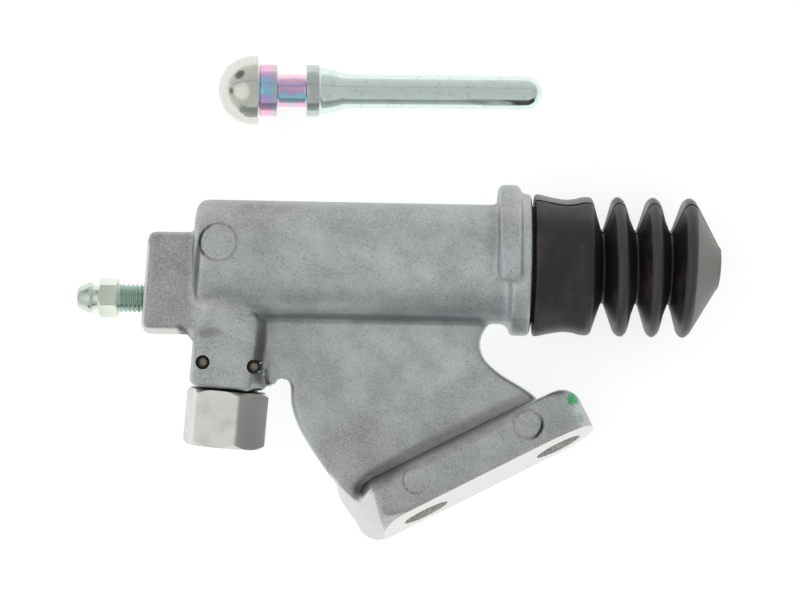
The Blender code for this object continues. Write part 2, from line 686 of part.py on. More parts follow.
def piston(finish):
    """A piston with a ball socket for the push rod, a seal groove and a nose for the cup."""
    end = piston_end()
    start = end - PISTON_LENGTH
    radius = BORE_R - GAP
    groove_end = end - PISTON_SEAL_X
    groove_start = groove_end - PISTON_SEAL_WIDTH
    nose = start - PISTON_NOSE_LENGTH
    path = [(nose, 0.0), (nose, PISTON_NOSE_R), (start, PISTON_NOSE_R)]
    path += [(start, radius - PISTON_EDGE), (start + PISTON_EDGE, radius)]
    path += [(groove_start, radius), (groove_start, PISTON_SEAL_R)]
    path += [(groove_end, PISTON_SEAL_R), (groove_end, radius)]
    path += [(end - PISTON_EDGE, radius), (end, radius - PISTON_EDGE), (end, SOCKET_MOUTH_R)]
    ball = end - SOCKET_DEPTH + SOCKET_BALL_R
    path += polar((ball, 0.0), SOCKET_BALL_R, SOCKET_BALL_ANGLE, math.pi, CORNER_STEPS)[:-1]
    path += [(end - SOCKET_DEPTH, 0.0)]
    return keep(turned("piston", path), finish)


def piston_seals(finish):
    """The cup on the piston's nose, whose lips face the fluid, and the ring seal in its groove."""
    start = piston_end() - PISTON_LENGTH - GAP
    inner = PISTON_NOSE_R + GAP
    outer = BORE_R - GAP
    lip = start - CUP_LENGTH
    middle = (inner + outer) / 2
    path = [(start, inner), (start, outer - GAP), (lip, outer), (lip, outer - PISTON_EDGE)]
    path += [(start - CUP_LENGTH / 2, middle), (lip + GAP, inner + PISTON_EDGE), (lip + GAP, inner)]
    keep(turned("primary_cup", path, closed=True), finish)
    end = piston_end() - PISTON_SEAL_X - GAP
    start = end - PISTON_SEAL_WIDTH + 2 * GAP
    floor = PISTON_SEAL_R + GAP
    path = [(start, floor), (start, outer), (start + PISTON_EDGE, outer)]
    path += [(end, outer - PISTON_EDGE), (end, floor)]
    keep(turned("secondary_seal", path, closed=True), finish)


def seat_face():
    """The side of the spring seat that the spring presses."""
    return piston_end() - PISTON_LENGTH - PISTON_NOSE_LENGTH - GAP - SEAT_THICKNESS


def spring_seat(finish):
    """A pressed disc with a hole, between the spring and the piston's nose."""
    face = seat_face()
    back = face + SEAT_THICKNESS
    path = [(face, SEAT_HOLE_R), (back, SEAT_HOLE_R), (back, SEAT_R), (face, SEAT_R)]
    return keep(turned("spring_seat", path, closed=True), finish)


def piston_spring(finish):
    """A conical coil from the bore's closed end to the spring seat, with its end turns close together."""
    start = -BARREL_LENGTH + BORE_END_WALL + GAP + SPRING_WIRE_R
    end = seat_face() - GAP - SPRING_WIRE_R
    count = SPRING_TURNS * SPRING_STEPS
    curve = bpy.data.curves.new("piston_spring", "CURVE")
    curve.dimensions = "3D"
    curve.bevel_depth = SPRING_WIRE_R
    curve.bevel_resolution = 1
    curve.use_fill_caps = True
    spline = curve.splines.new("POLY")
    spline.points.add(count)
    closed_share = 1.0 / SPRING_TURNS
    for index, point in enumerate(spline.points):
        share = index / count
        middle = min(max((share - closed_share) / (1.0 - 2 * closed_share), 0.0), 1.0)
        ends = min(share, closed_share) + max(share - 1.0 + closed_share, 0.0)
        along = start + ends / closed_share * SPRING_END_PITCH
        along += middle * (end - start - 2 * SPRING_END_PITCH)
        radius = SPRING_BIG_R + (SPRING_SMALL_R - SPRING_BIG_R) * share
        angle = 2 * math.pi * index / SPRING_STEPS
        point.co = (along, radius * math.cos(angle), radius * math.sin(angle), 1.0)
    return keep(add_object("piston_spring", curve), finish)


def stop_ring(finish):
    """An open snap ring in the groove near the bore's mouth."""
    high = SPIGOT_LENGTH - STOP_GROOVE_SETBACK - GAP
    low = high - STOP_RING_THICKNESS
    outer = BORE_R + STOP_GROOVE_DEPTH - GAP
    inner = outer - STOP_RING_WIDTH
    path = [(low, inner), (high, inner), (high, outer), (low, outer)]
    ring = turned("stop_ring", path, closed=True)
    half = STOP_RING_OPENING / 2
    cut(ring, box("ring_opening", (low - OVERLAP, -2 * outer, -half), (high + OVERLAP, 0.0, half)))
    return keep(ring, finish)


def boot_outside():
    """The boot's outer outline: a waisted collar, sharp-backed folds and a tip cone."""
    collar_middle = (BOOT_START + BOOT_COLLAR_END) / 2
    path = [(BOOT_START, BOOT_LIP_R - 2 * GAP), (BOOT_START + GAP, BOOT_LIP_R)]
    path += [(BOOT_LIP_LENGTH, (BOOT_LIP_R + BOOT_WAIST_R) / 2), (collar_middle, BOOT_WAIST_R)]
    shoulder = BOOT_COLLAR_END - BOOT_SHOULDER_LENGTH
    path += [(shoulder, BOOT_SHOULDER_R - GAP), (shoulder + BOOT_SHOULDER_LENGTH / 2, BOOT_SHOULDER_R)]
    path += [(BOOT_COLLAR_END - GAP, BOOT_SHOULDER_R - BOOT_ROUNDING)]
    half = BOOT_CREST_WIDTH / 2
    for fold in range(BOOT_FOLDS):
        crest = BOOT_FIRST_CREST + fold * BOOT_PITCH
        valley = crest - BOOT_PITCH / 2
        path += [(valley - half / 2, BOOT_VALLEY_R + GAP), (valley + half / 2, BOOT_VALLEY_R + GAP)]
        path += [(crest - half - GAP, BOOT_CREST_R - BOOT_ROUNDING), (crest - half / 2, BOOT_CREST_R)]
        path += [(crest + half / 2, BOOT_CREST_R), (crest + half + GAP, BOOT_CREST_R - BOOT_ROUNDING)]
    last = BOOT_FIRST_CREST + (BOOT_FOLDS - 1) * BOOT_PITCH
    path += [((last + BOOT_END) / 2 + BOOT_ROUNDING, BOOT_VALLEY_R + 2 * GAP)]
    path += [(BOOT_END - BOOT_ROUNDING, BOOT_TIP_R + 2 * GAP), (BOOT_END, BOOT_TIP_R - GAP)]
    return path


def boot_inside():
    """The boot's inner outline from its tip back to its lip, with a bead for the spigot's groove."""
    path = [(BOOT_END, BOOT_HOLE_R), (BOOT_END - 2 * BOOT_WALL, BOOT_HOLE_R)]
    for fold in reversed(range(BOOT_FOLDS)):
        crest = BOOT_FIRST_CREST + fold * BOOT_PITCH
        valley = crest - BOOT_PITCH / 2
        path += [(crest + GAP, BOOT_CREST_R - BOOT_FOLD_WALL), (crest - GAP, BOOT_CREST_R - BOOT_FOLD_WALL)]
        path += [(valley + 2 * GAP, BOOT_VALLEY_R - BOOT_WALL), (valley - 2 * GAP, BOOT_VALLEY_R - BOOT_WALL)]
    inner = SPIGOT_R + GAP
    bead = inner - SPIGOT_GROOVE_DEPTH
    middle = SPIGOT_GROOVE_X + SPIGOT_GROOVE_WIDTH / 2
    half = BOOT_BEAD_LENGTH / 2
    path += [(SPIGOT_LENGTH + GAP, SPIGOT_R - BOOT_WALL), (SPIGOT_LENGTH + GAP, inner)]
    path += [(middle + half, inner), (middle + half - GAP, bead)]
    path += [(middle - half + GAP, bead), (middle - half, inner), (BOOT_START, inner)]
    return path


def dust_boot(finish):
    return keep(turned("dust_boot", boot_outside() + boot_inside(), closed=True), finish)


def push_rod(finish):
    """A turned rod with a ball head, two collars, a neck for the boot's tip and a round end."""
    quarter = math.pi / 2
    path = [(0.0, 0.0)] + polar((ROD_HEAD_R, 0.0), ROD_HEAD_R, math.pi, quarter, 2 * EDGE_STEPS)[1:]
    groove_r = ROD_COLLAR_R - 2 * GAP
    path += [(ROD_HEAD_LENGTH, ROD_HEAD_R), (ROD_HEAD_LENGTH, groove_r), (ROD_SECOND_START, groove_r)]
    path += [(ROD_SECOND_START, ROD_COLLAR_R), (ROD_SECOND_END, ROD_COLLAR_R)]
    path += [(ROD_SECOND_END + GAP, ROD_NECK_R), (ROD_THIRD_START, ROD_NECK_R)]
    path += [(ROD_THIRD_START, ROD_COLLAR_R), (ROD_THIRD_END, ROD_COLLAR_R), (ROD_CONE_END, ROD_TIP_R)]
    path += polar((ROD_LENGTH - ROD_TIP_R, 0.0), ROD_TIP_R, quarter, 0.0, CORNER_STEPS)[:-1]
    path += [(ROD_LENGTH, 0.0)]
    reach = ROD_LENGTH - ROD_HEAD_R - ROD_TIP_R
    dip = math.asin((ROD_HEAD_R - ROD_TIP_R) / reach)
    level = Vector((math.cos(ROD_TURN), math.sin(ROD_TURN), 0.0))
    way = level * math.cos(dip) - UPWARD * math.sin(dip)
    ball = Vector((ROD_HEAD_X, ROD_HEAD_Y, ROD_HEAD_R - AXIS_HEIGHT))
    return keep(turned("push_rod", path, ball - way * ROD_HEAD_R, way), finish)


def frame_origin():
    """The mouth's place from the middle of the whole part's footprint on the bench."""
    left = bleed_face() - BLEED_HEX_START - BLEED_HEX_LENGTH - BLEED_NECK_LENGTH - BLEED_BARB_LENGTH
    back = ROD_HEAD_Y + ROD_HEAD_R
    front = min(WEB_LEFT_Y)
    return Vector((-(left + BOOT_END) / 2, -(back + front) / 2, AXIS_HEIGHT))


def build():
    cast = material("cast_aluminium", (0.42, 0.44, 0.45), 0.55, 0.6)
    rubber = material("boot_rubber", (0.02, 0.02, 0.022), 0.45, 0.0)
    seal_rubber = material("seal_rubber", (0.015, 0.015, 0.015), 0.5, 0.0)
    zinc = material("zinc_plated_steel", (0.70, 0.74, 0.74), 0.3, 1.0)
    machined = material("machined_steel", (0.72, 0.73, 0.71), 0.35, 1.0)
    spring_steel = material("spring_steel", (0.12, 0.12, 0.13), 0.4, 1.0)
    piston_metal = material("piston_aluminium", (0.66, 0.66, 0.64), 0.35, 1.0)
    cylinder_body(cast)
    piston(piston_metal)
    piston_seals(seal_rubber)
    spring_seat(zinc)
    piston_spring(spring_steel)
    stop_ring(spring_steel)
    dust_boot(rubber)
    push_rod(zinc)
    bleed_screw(zinc)
    pipe_union(machined)
    union_seal(seal_rubber)
    roll_pins(spring_steel)


clear_scene()
pieces = new_collection("Clutch slave cylinder", False)
cutters = new_collection("Cutters", True)
mouth_empty = bpy.data.objects.new("mouth", None)
mouth_empty.location = frame_origin()
pieces.objects.link(mouth_empty)
build()
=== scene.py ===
"""The looks of a clutch slave cylinder: a light-alloy casting, its rubber boot and bright steel fittings.

Sizes are millimetres from the centre of the mouth face, with X along the bore towards the boot,
Y across the bench towards the push rod and Z up. Datum turns them into the frame's metres.
"""

from __future__ import annotations

import logging
import math
from collections.abc import Sequence
from dataclasses import dataclass
from enum import Enum, IntEnum
from typing import Protocol

import bpy
import numpy as np
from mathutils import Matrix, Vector


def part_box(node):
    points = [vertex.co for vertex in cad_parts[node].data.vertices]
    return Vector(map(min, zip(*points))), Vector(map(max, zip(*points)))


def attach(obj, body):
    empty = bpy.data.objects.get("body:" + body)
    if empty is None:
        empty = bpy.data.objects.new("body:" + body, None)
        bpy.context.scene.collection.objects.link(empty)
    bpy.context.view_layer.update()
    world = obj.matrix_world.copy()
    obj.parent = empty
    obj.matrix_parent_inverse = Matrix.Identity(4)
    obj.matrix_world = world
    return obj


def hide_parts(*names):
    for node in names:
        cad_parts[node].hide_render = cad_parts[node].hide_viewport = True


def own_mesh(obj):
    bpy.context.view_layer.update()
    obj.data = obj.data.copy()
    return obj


LOG = logging.getLogger("slave_cylinder")
MM = 0.001
ROUND_STEPS = 6
UP = (0.0, 0.0, 1.0)
UPRIGHT = ((0.0, 0.0, 1.0), (1.0, 0.0, 0.0), (0.0, 1.0, 0.0))

Triple = tuple[float, float, float]
Pair = tuple[float, float]
Socket = bpy.types.NodeSocket
Object = bpy.types.Object
Material = bpy.types.Material


class Body(Enum):
    """The CAD bodies that a piece can ride on."""

    CASTING = "casting"
    PISTON = "piston_group"
    BLEEDER = "bleeder"
    UNION = "union"


class Slot(Enum):
    """The record's material slots."""

    CAST = "cast_aluminium"
    PISTON = "piston_aluminium"
    ZINC = "zinc_steel"
    MACHINED = "machined_steel"
    SPRING = "spring_steel"
    BOOT = "boot_rubber"
    SEAL = "seal_rubber"


class Made(IntEnum):
    """How a face of the casting was made, which is also its material's place in the list."""

    CAST = 0
    MILLED = 1
    BORED = 2


@dataclass(frozen=True)
class Datum:
    """Where the mouth's centre is in the frame, in metres."""

    mouth: Vector

    @classmethod
    def from_frame(cls, boot_start: float) -> Datum:
        """Reads the mouth from the CAD boot, which is turned about the bore's axis.

        Args:
            boot_start: How far the boot starts from the mouth face, in millimetres.

        Returns:
            The datum that every piece is placed from.
        """
        low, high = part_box("dust_boot")
        return cls(Vector((low[0] - boot_start * MM, (low[1] + high[1]) / 2, (low[2] + high[2]) / 2)))

    def world(self, points: np.ndarray) -> np.ndarray:
        """Points in millimetres from the mouth, as metres in the frame."""
        return np.asarray(points, float) * MM + np.array(self.mouth)

    def spot(self, x: float, y: float, z: float) -> Triple:
        """One place in millimetres from the mouth, as metres in the frame."""
        return tuple(self.world(np.array([x, y, z])))


@dataclass
class Surface:
    """Points and faces of one closed surface, in millimetres from the mouth."""

    points: np.ndarray
    faces: list[np.ndarray]

    def moved(self, base: Triple | np.ndarray, axes: Sequence | np.ndarray) -> Surface:
        """The surface carried into another set of axes.

        Args:
            base: The new origin.
            axes: Three rows, the directions that local X, Y and Z take.

        Returns:
            A new surface, where each point p becomes base + p · axes.
        """
        return Surface(np.asarray(base, float) + self.points @ np.asarray(axes, float), self.faces)


class Piece(Protocol):
    """A new piece, which builds its mesh and then dresses it."""

    def build(self, datum: Datum) -> Object:
        """Makes the piece's object."""

    def dress(self, obj: Object, datum: Datum) -> None:
        """Gives the object its finish."""


def held(values: np.ndarray) -> np.ndarray:
    """Values kept between 0 and 1."""
    return np.clip(values, 0.0, 1.0)


def smooth(values: np.ndarray) -> np.ndarray:
    """The smooth step 3t² - 2t³ of values from 0 to 1."""
    return values * values * (3.0 - 2.0 * values)


def rounding(radius: float, depth: np.ndarray) -> np.ndarray:
    """How far a quarter circle has left its tangent, R - sqrt(R² - d²), with d held from 0 to R."""
    inside = np.clip(depth, 0.0, radius)
    return radius - np.sqrt(radius**2 - inside**2)


def heading(degrees: float) -> np.ndarray:
    """The level way at an angle from X."""
    turn = math.radians(degrees)
    return np.array([math.cos(turn), math.sin(turn), 0.0])


def square(way: np.ndarray) -> np.ndarray:
    """The level way a quarter turn clockwise from another."""
    return np.array([way[1], -way[0], 0.0])


def darker(colour: Triple | np.ndarray, share: float) -> Triple:
    """Three values, each times a share."""
    return tuple(share * part for part in colour)


def joined(*surfaces: Surface) -> Surface:
    """Several surfaces as one, each keeping its own points.

    Args:
        surfaces: The surfaces.

    Returns:
        One surface.
    """
    points, faces, start = [], [], 0
    for surface in surfaces:
        points.append(surface.points)
        faces += [face + start for face in surface.faces]
        start += len(surface.points)
    return Surface(np.concatenate(points), faces)


def quads(rows: int, columns: int, wrap_rows: bool, wrap_columns: bool) -> np.ndarray:
    """The four-sided faces of a grid of points numbered row by row.

    Args:
        rows: How many rows.
        columns: How many points in a row.
        wrap_rows: True where the last row meets the first.
        wrap_columns: True where each row closes on itself.

    Returns:
        Four point numbers for each face.
    """
    row = np.arange(rows if wrap_rows else rows - 1)
    column = np.arange(columns if wrap_columns else columns - 1)
    i, j = np.meshgrid(row, column, indexing="ij")
    k, m = (i + 1) % rows, (j + 1) % columns
    corners = [i * columns + j, k * columns + j, k * columns + m, i * columns + m]
    return np.stack(corners, -1).reshape(-1, 4)


def lofted(rings: np.ndarray, closed: bool = False) -> Surface:
    """A surface through closed rings of points, capped by fans unless its rings close on themselves.

    Args:
        rings: An array of shape (rings, points, 3).
        closed: True where the last ring meets the first, as on a ring seal.

    Returns:
        The surface P(i, j) = rings[i, j], whose two caps meet at each end ring's mean point.
    """
    count, around = rings.shape[:2]
    points = rings.reshape(-1, 3)
    faces = [quads(count, around, closed, True)]
    if not closed:
        j = np.arange(around)
        k = (j + 1) % around
        first, last = len(points), len(points) + 1
        points = np.vstack([points, rings[0].mean(0), rings[-1].mean(0)])
        end = (count - 1) * around
        faces.append(np.stack([np.full(around, first), j, k], -1))
        faces.append(np.stack([np.full(around, last), end + k, end + j], -1))
    return Surface(points, faces)


def turned(profile: Sequence[Pair] | np.ndarray, steps: int, closed: bool = False) -> Surface:
    """A solid of revolution about local X.

    Args:
        profile: Pairs (s, r), the distance along the axis and the radius.
        steps: Points round the axis.
        closed: True where the profile closes on itself.

    Returns:
        P(i, phi) = (s_i, r_i cos phi, r_i sin phi).
    """
    s, r = np.asarray(profile, float).T
    phi = np.linspace(0.0, 2 * np.pi, steps, endpoint=False)
    along = np.repeat(s[:, None], steps, 1)
    rings = np.stack([along, r[:, None] * np.cos(phi), r[:, None] * np.sin(phi)], -1)
    return lofted(rings, closed)


def arc(centre: Pair, radius: float, start: float, end: float, count: int = 9) -> np.ndarray:
    """Points c + R (cos a, sin a), with the angle a in degrees going from start to end."""
    angle = np.radians(np.linspace(start, end, count))
    return np.array(centre) + radius * np.stack([np.cos(angle), np.sin(angle)], -1)


def curve(knots: Sequence[Pair] | np.ndarray, each: int = 10) -> np.ndarray:
    """A smooth curve through the knots.

    Args:
        knots: Places in two or three dimensions.
        each: Points for each stretch between two knots.

    Returns:
        The Catmull-Rom curve, with t from 0 to 1 on each stretch:
        P = (2b + (c - a) t + (2a - 5b + 4c - d) t² + (3b - a - 3c + d) t³) / 2.
    """
    p = np.asarray(knots, float)
    p = np.vstack([2 * p[0] - p[1], p, 2 * p[-1] - p[-2]])
    a, b, c, d = p[:-3, None], p[1:-2, None], p[2:-1, None], p[3:, None]
    t = np.linspace(0.0, 1.0, each, endpoint=False)[None, :, None]
    path = (2 * b + (c - a) * t + (2 * a - 5 * b + 4 * c - d) * t**2 + (3 * b - a - 3 * c + d) * t**3) / 2
    return np.vstack([path.reshape(-1, p.shape[1]), p[-2]])


def rounded_rectangle(left: float, right: float, low: float, high: float, radius: float) -> np.ndarray:
    """A rectangle's outline with an arc at each corner, from the lower right, anticlockwise.

    Args:
        left: Its left side.
        right: Its right side.
        low: Its lower side.
        high: Its upper side.
        radius: The corners' radius.

    Returns:
        Points across and up.
    """
    near, far = (left + radius, low + radius), (right - radius, high - radius)
    centres = ((far[0], near[1]), far, (near[0], far[1]), near)
    return np.vstack([arc(centre, radius, 90.0 * k - 90.0, 90.0 * k) for k, centre in enumerate(centres)])


def prism(outline: np.ndarray, levels: Sequence | np.ndarray, inset: Sequence | np.ndarray) -> Surface:
    """A bar of one outline whose ends are eased.

    Args:
        outline: Pairs across and up.
        levels: Distances along the bar.
        inset: How far each level's outline is drawn in.

    Returns:
        Rings at each level l, each point q moved to q (1 - inset_l / size), with size the
        outline's own reach, so the ends are rounded.
    """
    centre = (outline.max(0) + outline.min(0)) / 2
    reach = (outline.max(0) - outline.min(0)) / 2
    shrink = 1.0 - np.asarray(inset, float)[:, None] / reach[None, :]
    rings = centre + (outline - centre)[None, :, :] * shrink[:, None, :]
    along = np.repeat(np.asarray(levels, float)[:, None], len(outline), 1)
    return lofted(np.concatenate([rings, along[:, :, None]], -1))


def eased(low: float, high: float, radius: float, count: int = ROUND_STEPS) -> tuple[np.ndarray, np.ndarray]:
    """Levels and insets that round both ends of a bar with a quarter circle.

    Args:
        low: Where the bar starts.
        high: Where it ends.
        radius: The rounding's radius.
        count: Levels for each end.

    Returns:
        The levels along the bar, and how far the outline is drawn in at each.
    """
    angle = np.linspace(0.0, np.pi / 2, count)
    rise = radius * (1 - np.cos(angle))
    inset = radius * (1 - np.sin(angle))
    levels = np.concatenate([low + rise, (high - rise)[::-1]])
    return levels, np.concatenate([inset, inset[::-1]])


def mesh_object(name: str, surface: Surface, datum: Datum, smooth_angle: float = 40.0) -> Object:
    """Makes a Blender object at the frame's origin from a surface.

    Args:
        name: The piece's name.
        surface: Its points and faces.
        datum: Where the mouth is.
        smooth_angle: Edges sharper than this, in degrees, stay crisp.

    Returns:
        The object, linked to the scene, with outward faces.
    """
    world = datum.world(surface.points)
    corners = np.concatenate([face.ravel() for face in surface.faces]).astype(np.int32)
    sizes = np.concatenate([np.full(len(face), face.shape[1]) for face in surface.faces])
    mesh = bpy.data.meshes.new(name)
    mesh.vertices.add(len(world))
    mesh.vertices.foreach_set("co", world.astype(np.float32).ravel())
    mesh.loops.add(len(corners))
    mesh.loops.foreach_set("vertex_index", corners)
    mesh.polygons.add(len(sizes))
    mesh.polygons.foreach_set("loop_start", (np.cumsum(sizes) - sizes).astype(np.int32))
    mesh.update(calc_edges=True)
    mesh.validate()
    turn_outward(mesh)
    mesh.shade_smooth()
    mesh.set_sharp_from_angle(angle=math.radians(smooth_angle))
    obj = bpy.data.objects.new(name, mesh)
    bpy.context.scene.collection.objects.link(obj)
    return obj


def turn_outward(mesh: bpy.types.Mesh) -> None:
    """Flips a closed mesh whose signed volume is below zero.

    Args:
        mesh: The mesh.
    """
    count = len(mesh.vertices)
    points = np.empty(count * 3, np.float32)
    mesh.vertices.foreach_get("co", points)
    points = points.reshape(-1, 3).astype(float)
    points -= points.mean(0)
    mesh.calc_loop_triangles()
    corners = np.empty(len(mesh.loop_triangles) * 3, np.int32)
    mesh.loop_triangles.foreach_get("vertices", corners)
    a, b, c = (points[corners[k::3]] for k in range(3))
    if np.einsum("ij,ij->i", a, np.cross(b, c)).sum() < 0:
        mesh.flip_normals()


def applied(obj: Object) -> None:
    """Replaces an object's mesh by what its modifiers make of it.

    Args:
        obj: The object.
    """
    depsgraph = bpy.context.evaluated_depsgraph_get()
    made = bpy.data.meshes.new_from_object(obj.evaluated_get(depsgraph))
    old = obj.data
    obj.modifiers.clear()
    made.name = old.name
    obj.data = made
    bpy.data.meshes.remove(old)


def cut(obj: Object, surface: Surface, datum: Datum) -> None:
    """Takes a closed surface away from an object, leaving crisp machined edges.

    Args:
        obj: The object.
        surface: The closed cutter.
        datum: Where the mouth is.
    """
    cutter = mesh_object("cutter", surface, datum)
    modifier = obj.modifiers.new("Machining", "BOOLEAN")
    modifier.operation = "DIFFERENCE"
    modifier.object = cutter
    modifier.solver = "MANIFOLD"
    applied(obj)
    mesh = cutter.data
    bpy.data.objects.remove(cutter)
    bpy.data.meshes.remove(mesh)


class NodeTree:
    """A short way to write a node tree, whose places come from one texture coordinate."""

    def __init__(self, tree: bpy.types.NodeTree, coordinate: str) -> None:
        """Takes a tree and adds its texture coordinate."""
        self.tree = tree
        self.place = tree.nodes.new("ShaderNodeTexCoord").outputs[coordinate]

    def node(self, kind: str, *values: object, **settings: object) -> bpy.types.Node:
        """Adds one node.

        Args:
            kind: The node's type, without its ShaderNode prefix.
            values: What its first inputs take, each a link or a plain value.
            settings: Its own settings.

        Returns:
            The node.
        """
        made = self.tree.nodes.new("ShaderNode" + kind)
        for key, setting in settings.items():
            setattr(made, key, setting)
        for socket, value in zip(made.inputs, values, strict=False):
            self.feed(socket, value)
        return made

    def feed(self, socket: Socket, value: object) -> None:
        """Gives an input either a link or a plain value.

        Args:
            socket: The input.
            value: The socket or the value that it takes.
        """
        if isinstance(value, Socket):
            self.tree.links.new(value, socket)
        else:
            socket.default_value = value

    def fill(self, node: bpy.types.Node, **values: object) -> bpy.types.Node:
        """Feeds a node's inputs by name.

        Args:
            node: The node.
            values: What the inputs take, with underscores for the spaces in their names.

        Returns:
            The same node.
        """
        for key, value in values.items():
            self.feed(node.inputs[key.replace("_", " ")], value)
        return node

    def math(self, operation: str, *values: object) -> Socket:
        """One step of arithmetic on sockets or numbers."""
        return self.node("Math", *values, operation=operation).outputs[0]

    def times(self, first: object, *others: object) -> Socket:
        """The product of sockets and numbers.

        Args:
            first: The first factor.
            others: The other factors.

        Returns:
            The product.
        """
        for other in others:
            first = self.math("MULTIPLY", first, other)
        return first

    def noise(self, scale: float, detail: float = 4.0, rough: float = 0.55, place: object = None) -> Socket:
        """Noise whose features are about 1 / scale millimetres across."""
        made = self.fill(self.node("TexNoise"), Vector=place or self.place, Scale=scale / MM)
        return self.fill(made, Detail=detail, Roughness=rough).outputs["Fac"]

    def stretched(self, scale: Triple) -> Socket:
        """The object's coordinates drawn out along some axes, for grain and tool marks."""
        return self.fill(self.node("Mapping"), Vector=self.place, Scale=scale).outputs[0]

    def ramp(self, value: object, low: float, high: float) -> Socket:
        """0 below low, 1 above high and smooth between them; falling where low is above high.

        Args:
            value: What is measured.
            low: Where the share is 0.
            high: Where the share is 1.

        Returns:
            The share.
        """
        made = self.node("MapRange", interpolation_type="SMOOTHSTEP")
        first = 1.0 if low > high else 0.0
        ends = {"From_Min": min(low, high), "From_Max": max(low, high)}
        return self.fill(made, Value=value, To_Min=first, To_Max=1.0 - first, **ends).outputs["Result"]

    def mix(self, share: object, first: object, second: object) -> Socket:
        """A colour between two colours.

        Args:
            share: 0 for the first colour and 1 for the second.
            first: A colour or a socket.
            second: A colour or a socket.

        Returns:
            The mixed colour.
        """
        made = self.node("Mix", share, data_type="RGBA")
        for socket, value in ((made.inputs[6], first), (made.inputs[7], second)):
            self.feed(socket, (*value, 1.0) if isinstance(value, tuple) else value)
        return made.outputs[2]

    def over(self, colour: object, other: object, *shares: object) -> Socket:
        """A colour with another laid over it, as far as the product of the shares."""
        return self.mix(self.times(*shares), colour, other)

    def colours(self, value: object, stops: Sequence[tuple[float, Triple]]) -> Socket:
        """A colour ramp.

        Args:
            value: The place on the ramp.
            stops: Pairs of a position and a colour.

        Returns:
            The colour at that place.
        """
        made = self.node("ValToRGB", value)
        elements = made.color_ramp.elements
        while len(elements) < len(stops):
            elements.new(1.0)
        for element, (position, colour) in zip(elements, stops, strict=True):
            element.position = position
            element.color = (*colour, 1.0)
        return made.outputs[0]

    def vector(self, operation: str, *values: object, output: str = "Vector") -> Socket:
        """One step of arithmetic on vectors."""
        return self.node("VectorMath", *values, operation=operation).outputs[output]

    def axis(self, way: Triple | np.ndarray, origin: Triple) -> Socket:
        """Millimetres along a direction from a place in the frame."""
        off = self.vector("SUBTRACT", self.place, origin)
        return self.vector("DOT_PRODUCT", off, tuple(part / MM for part in way), output="Value")

    def distance(self, centre: Triple, flat: bool = True) -> Socket:
        """Millimetres from a place, measured in plan where flat.

        Args:
            centre: The place.
            flat: False where height counts too.

        Returns:
            The distance.
        """
        off = self.vector("SUBTRACT", self.place, centre)
        scale = (1 / MM, 1 / MM, 0.0 if flat else 1 / MM)
        return self.vector("LENGTH", self.vector("MULTIPLY", off, scale), output="Value")

    def facing(self, way: Triple) -> Socket:
        """The cosine between the surface and a direction."""
        normal = self.node("NewGeometry").outputs["Normal"]
        return self.vector("DOT_PRODUCT", normal, way, output="Value")

    def crevice(self, reach: float) -> Socket:
        """1 in the open and falling to 0 in corners narrower than the reach, in millimetres."""
        return self.fill(self.node("AmbientOcclusion", samples=8), Distance=reach * MM).outputs["AO"]

    def bump(self, height: object, strength: float, depth: float) -> Socket:
        """A bumped normal, where depth is the relief in millimetres."""
        bump = self.node("Bump")
        return self.fill(bump, Strength=strength, Distance=depth * MM, Height=height).outputs["Normal"]


class Nodes(NodeTree):
    """The node tree of a new material."""

    def __init__(self, name: str) -> None:
        """Makes a material with a Principled BSDF joined to its output.

        Args:
            name: The material's name.
        """
        self.material = bpy.data.materials.new(name)
        self.material.use_nodes = True
        super().__init__(self.material.node_tree, "Object")
        self.shader = self.tree.nodes["Principled BSDF"]

    def finish(
        self, colour: object, roughness: object, metallic: float, normal: object, **more: object
    ) -> Material:
        """Feeds the shader and returns the material.

        Args:
            colour: The base colour.
            roughness: The roughness.
            metallic: The metallic value.
            normal: The bumped normal.
            more: Other shader inputs by name, with underscores for spaces.

        Returns:
            The finished material.
        """
        main = {"Base_Color": colour, "Roughness": roughness, "Metallic": metallic, "Normal": normal}
        self.fill(self.shader, **main, **more)
        return self.material


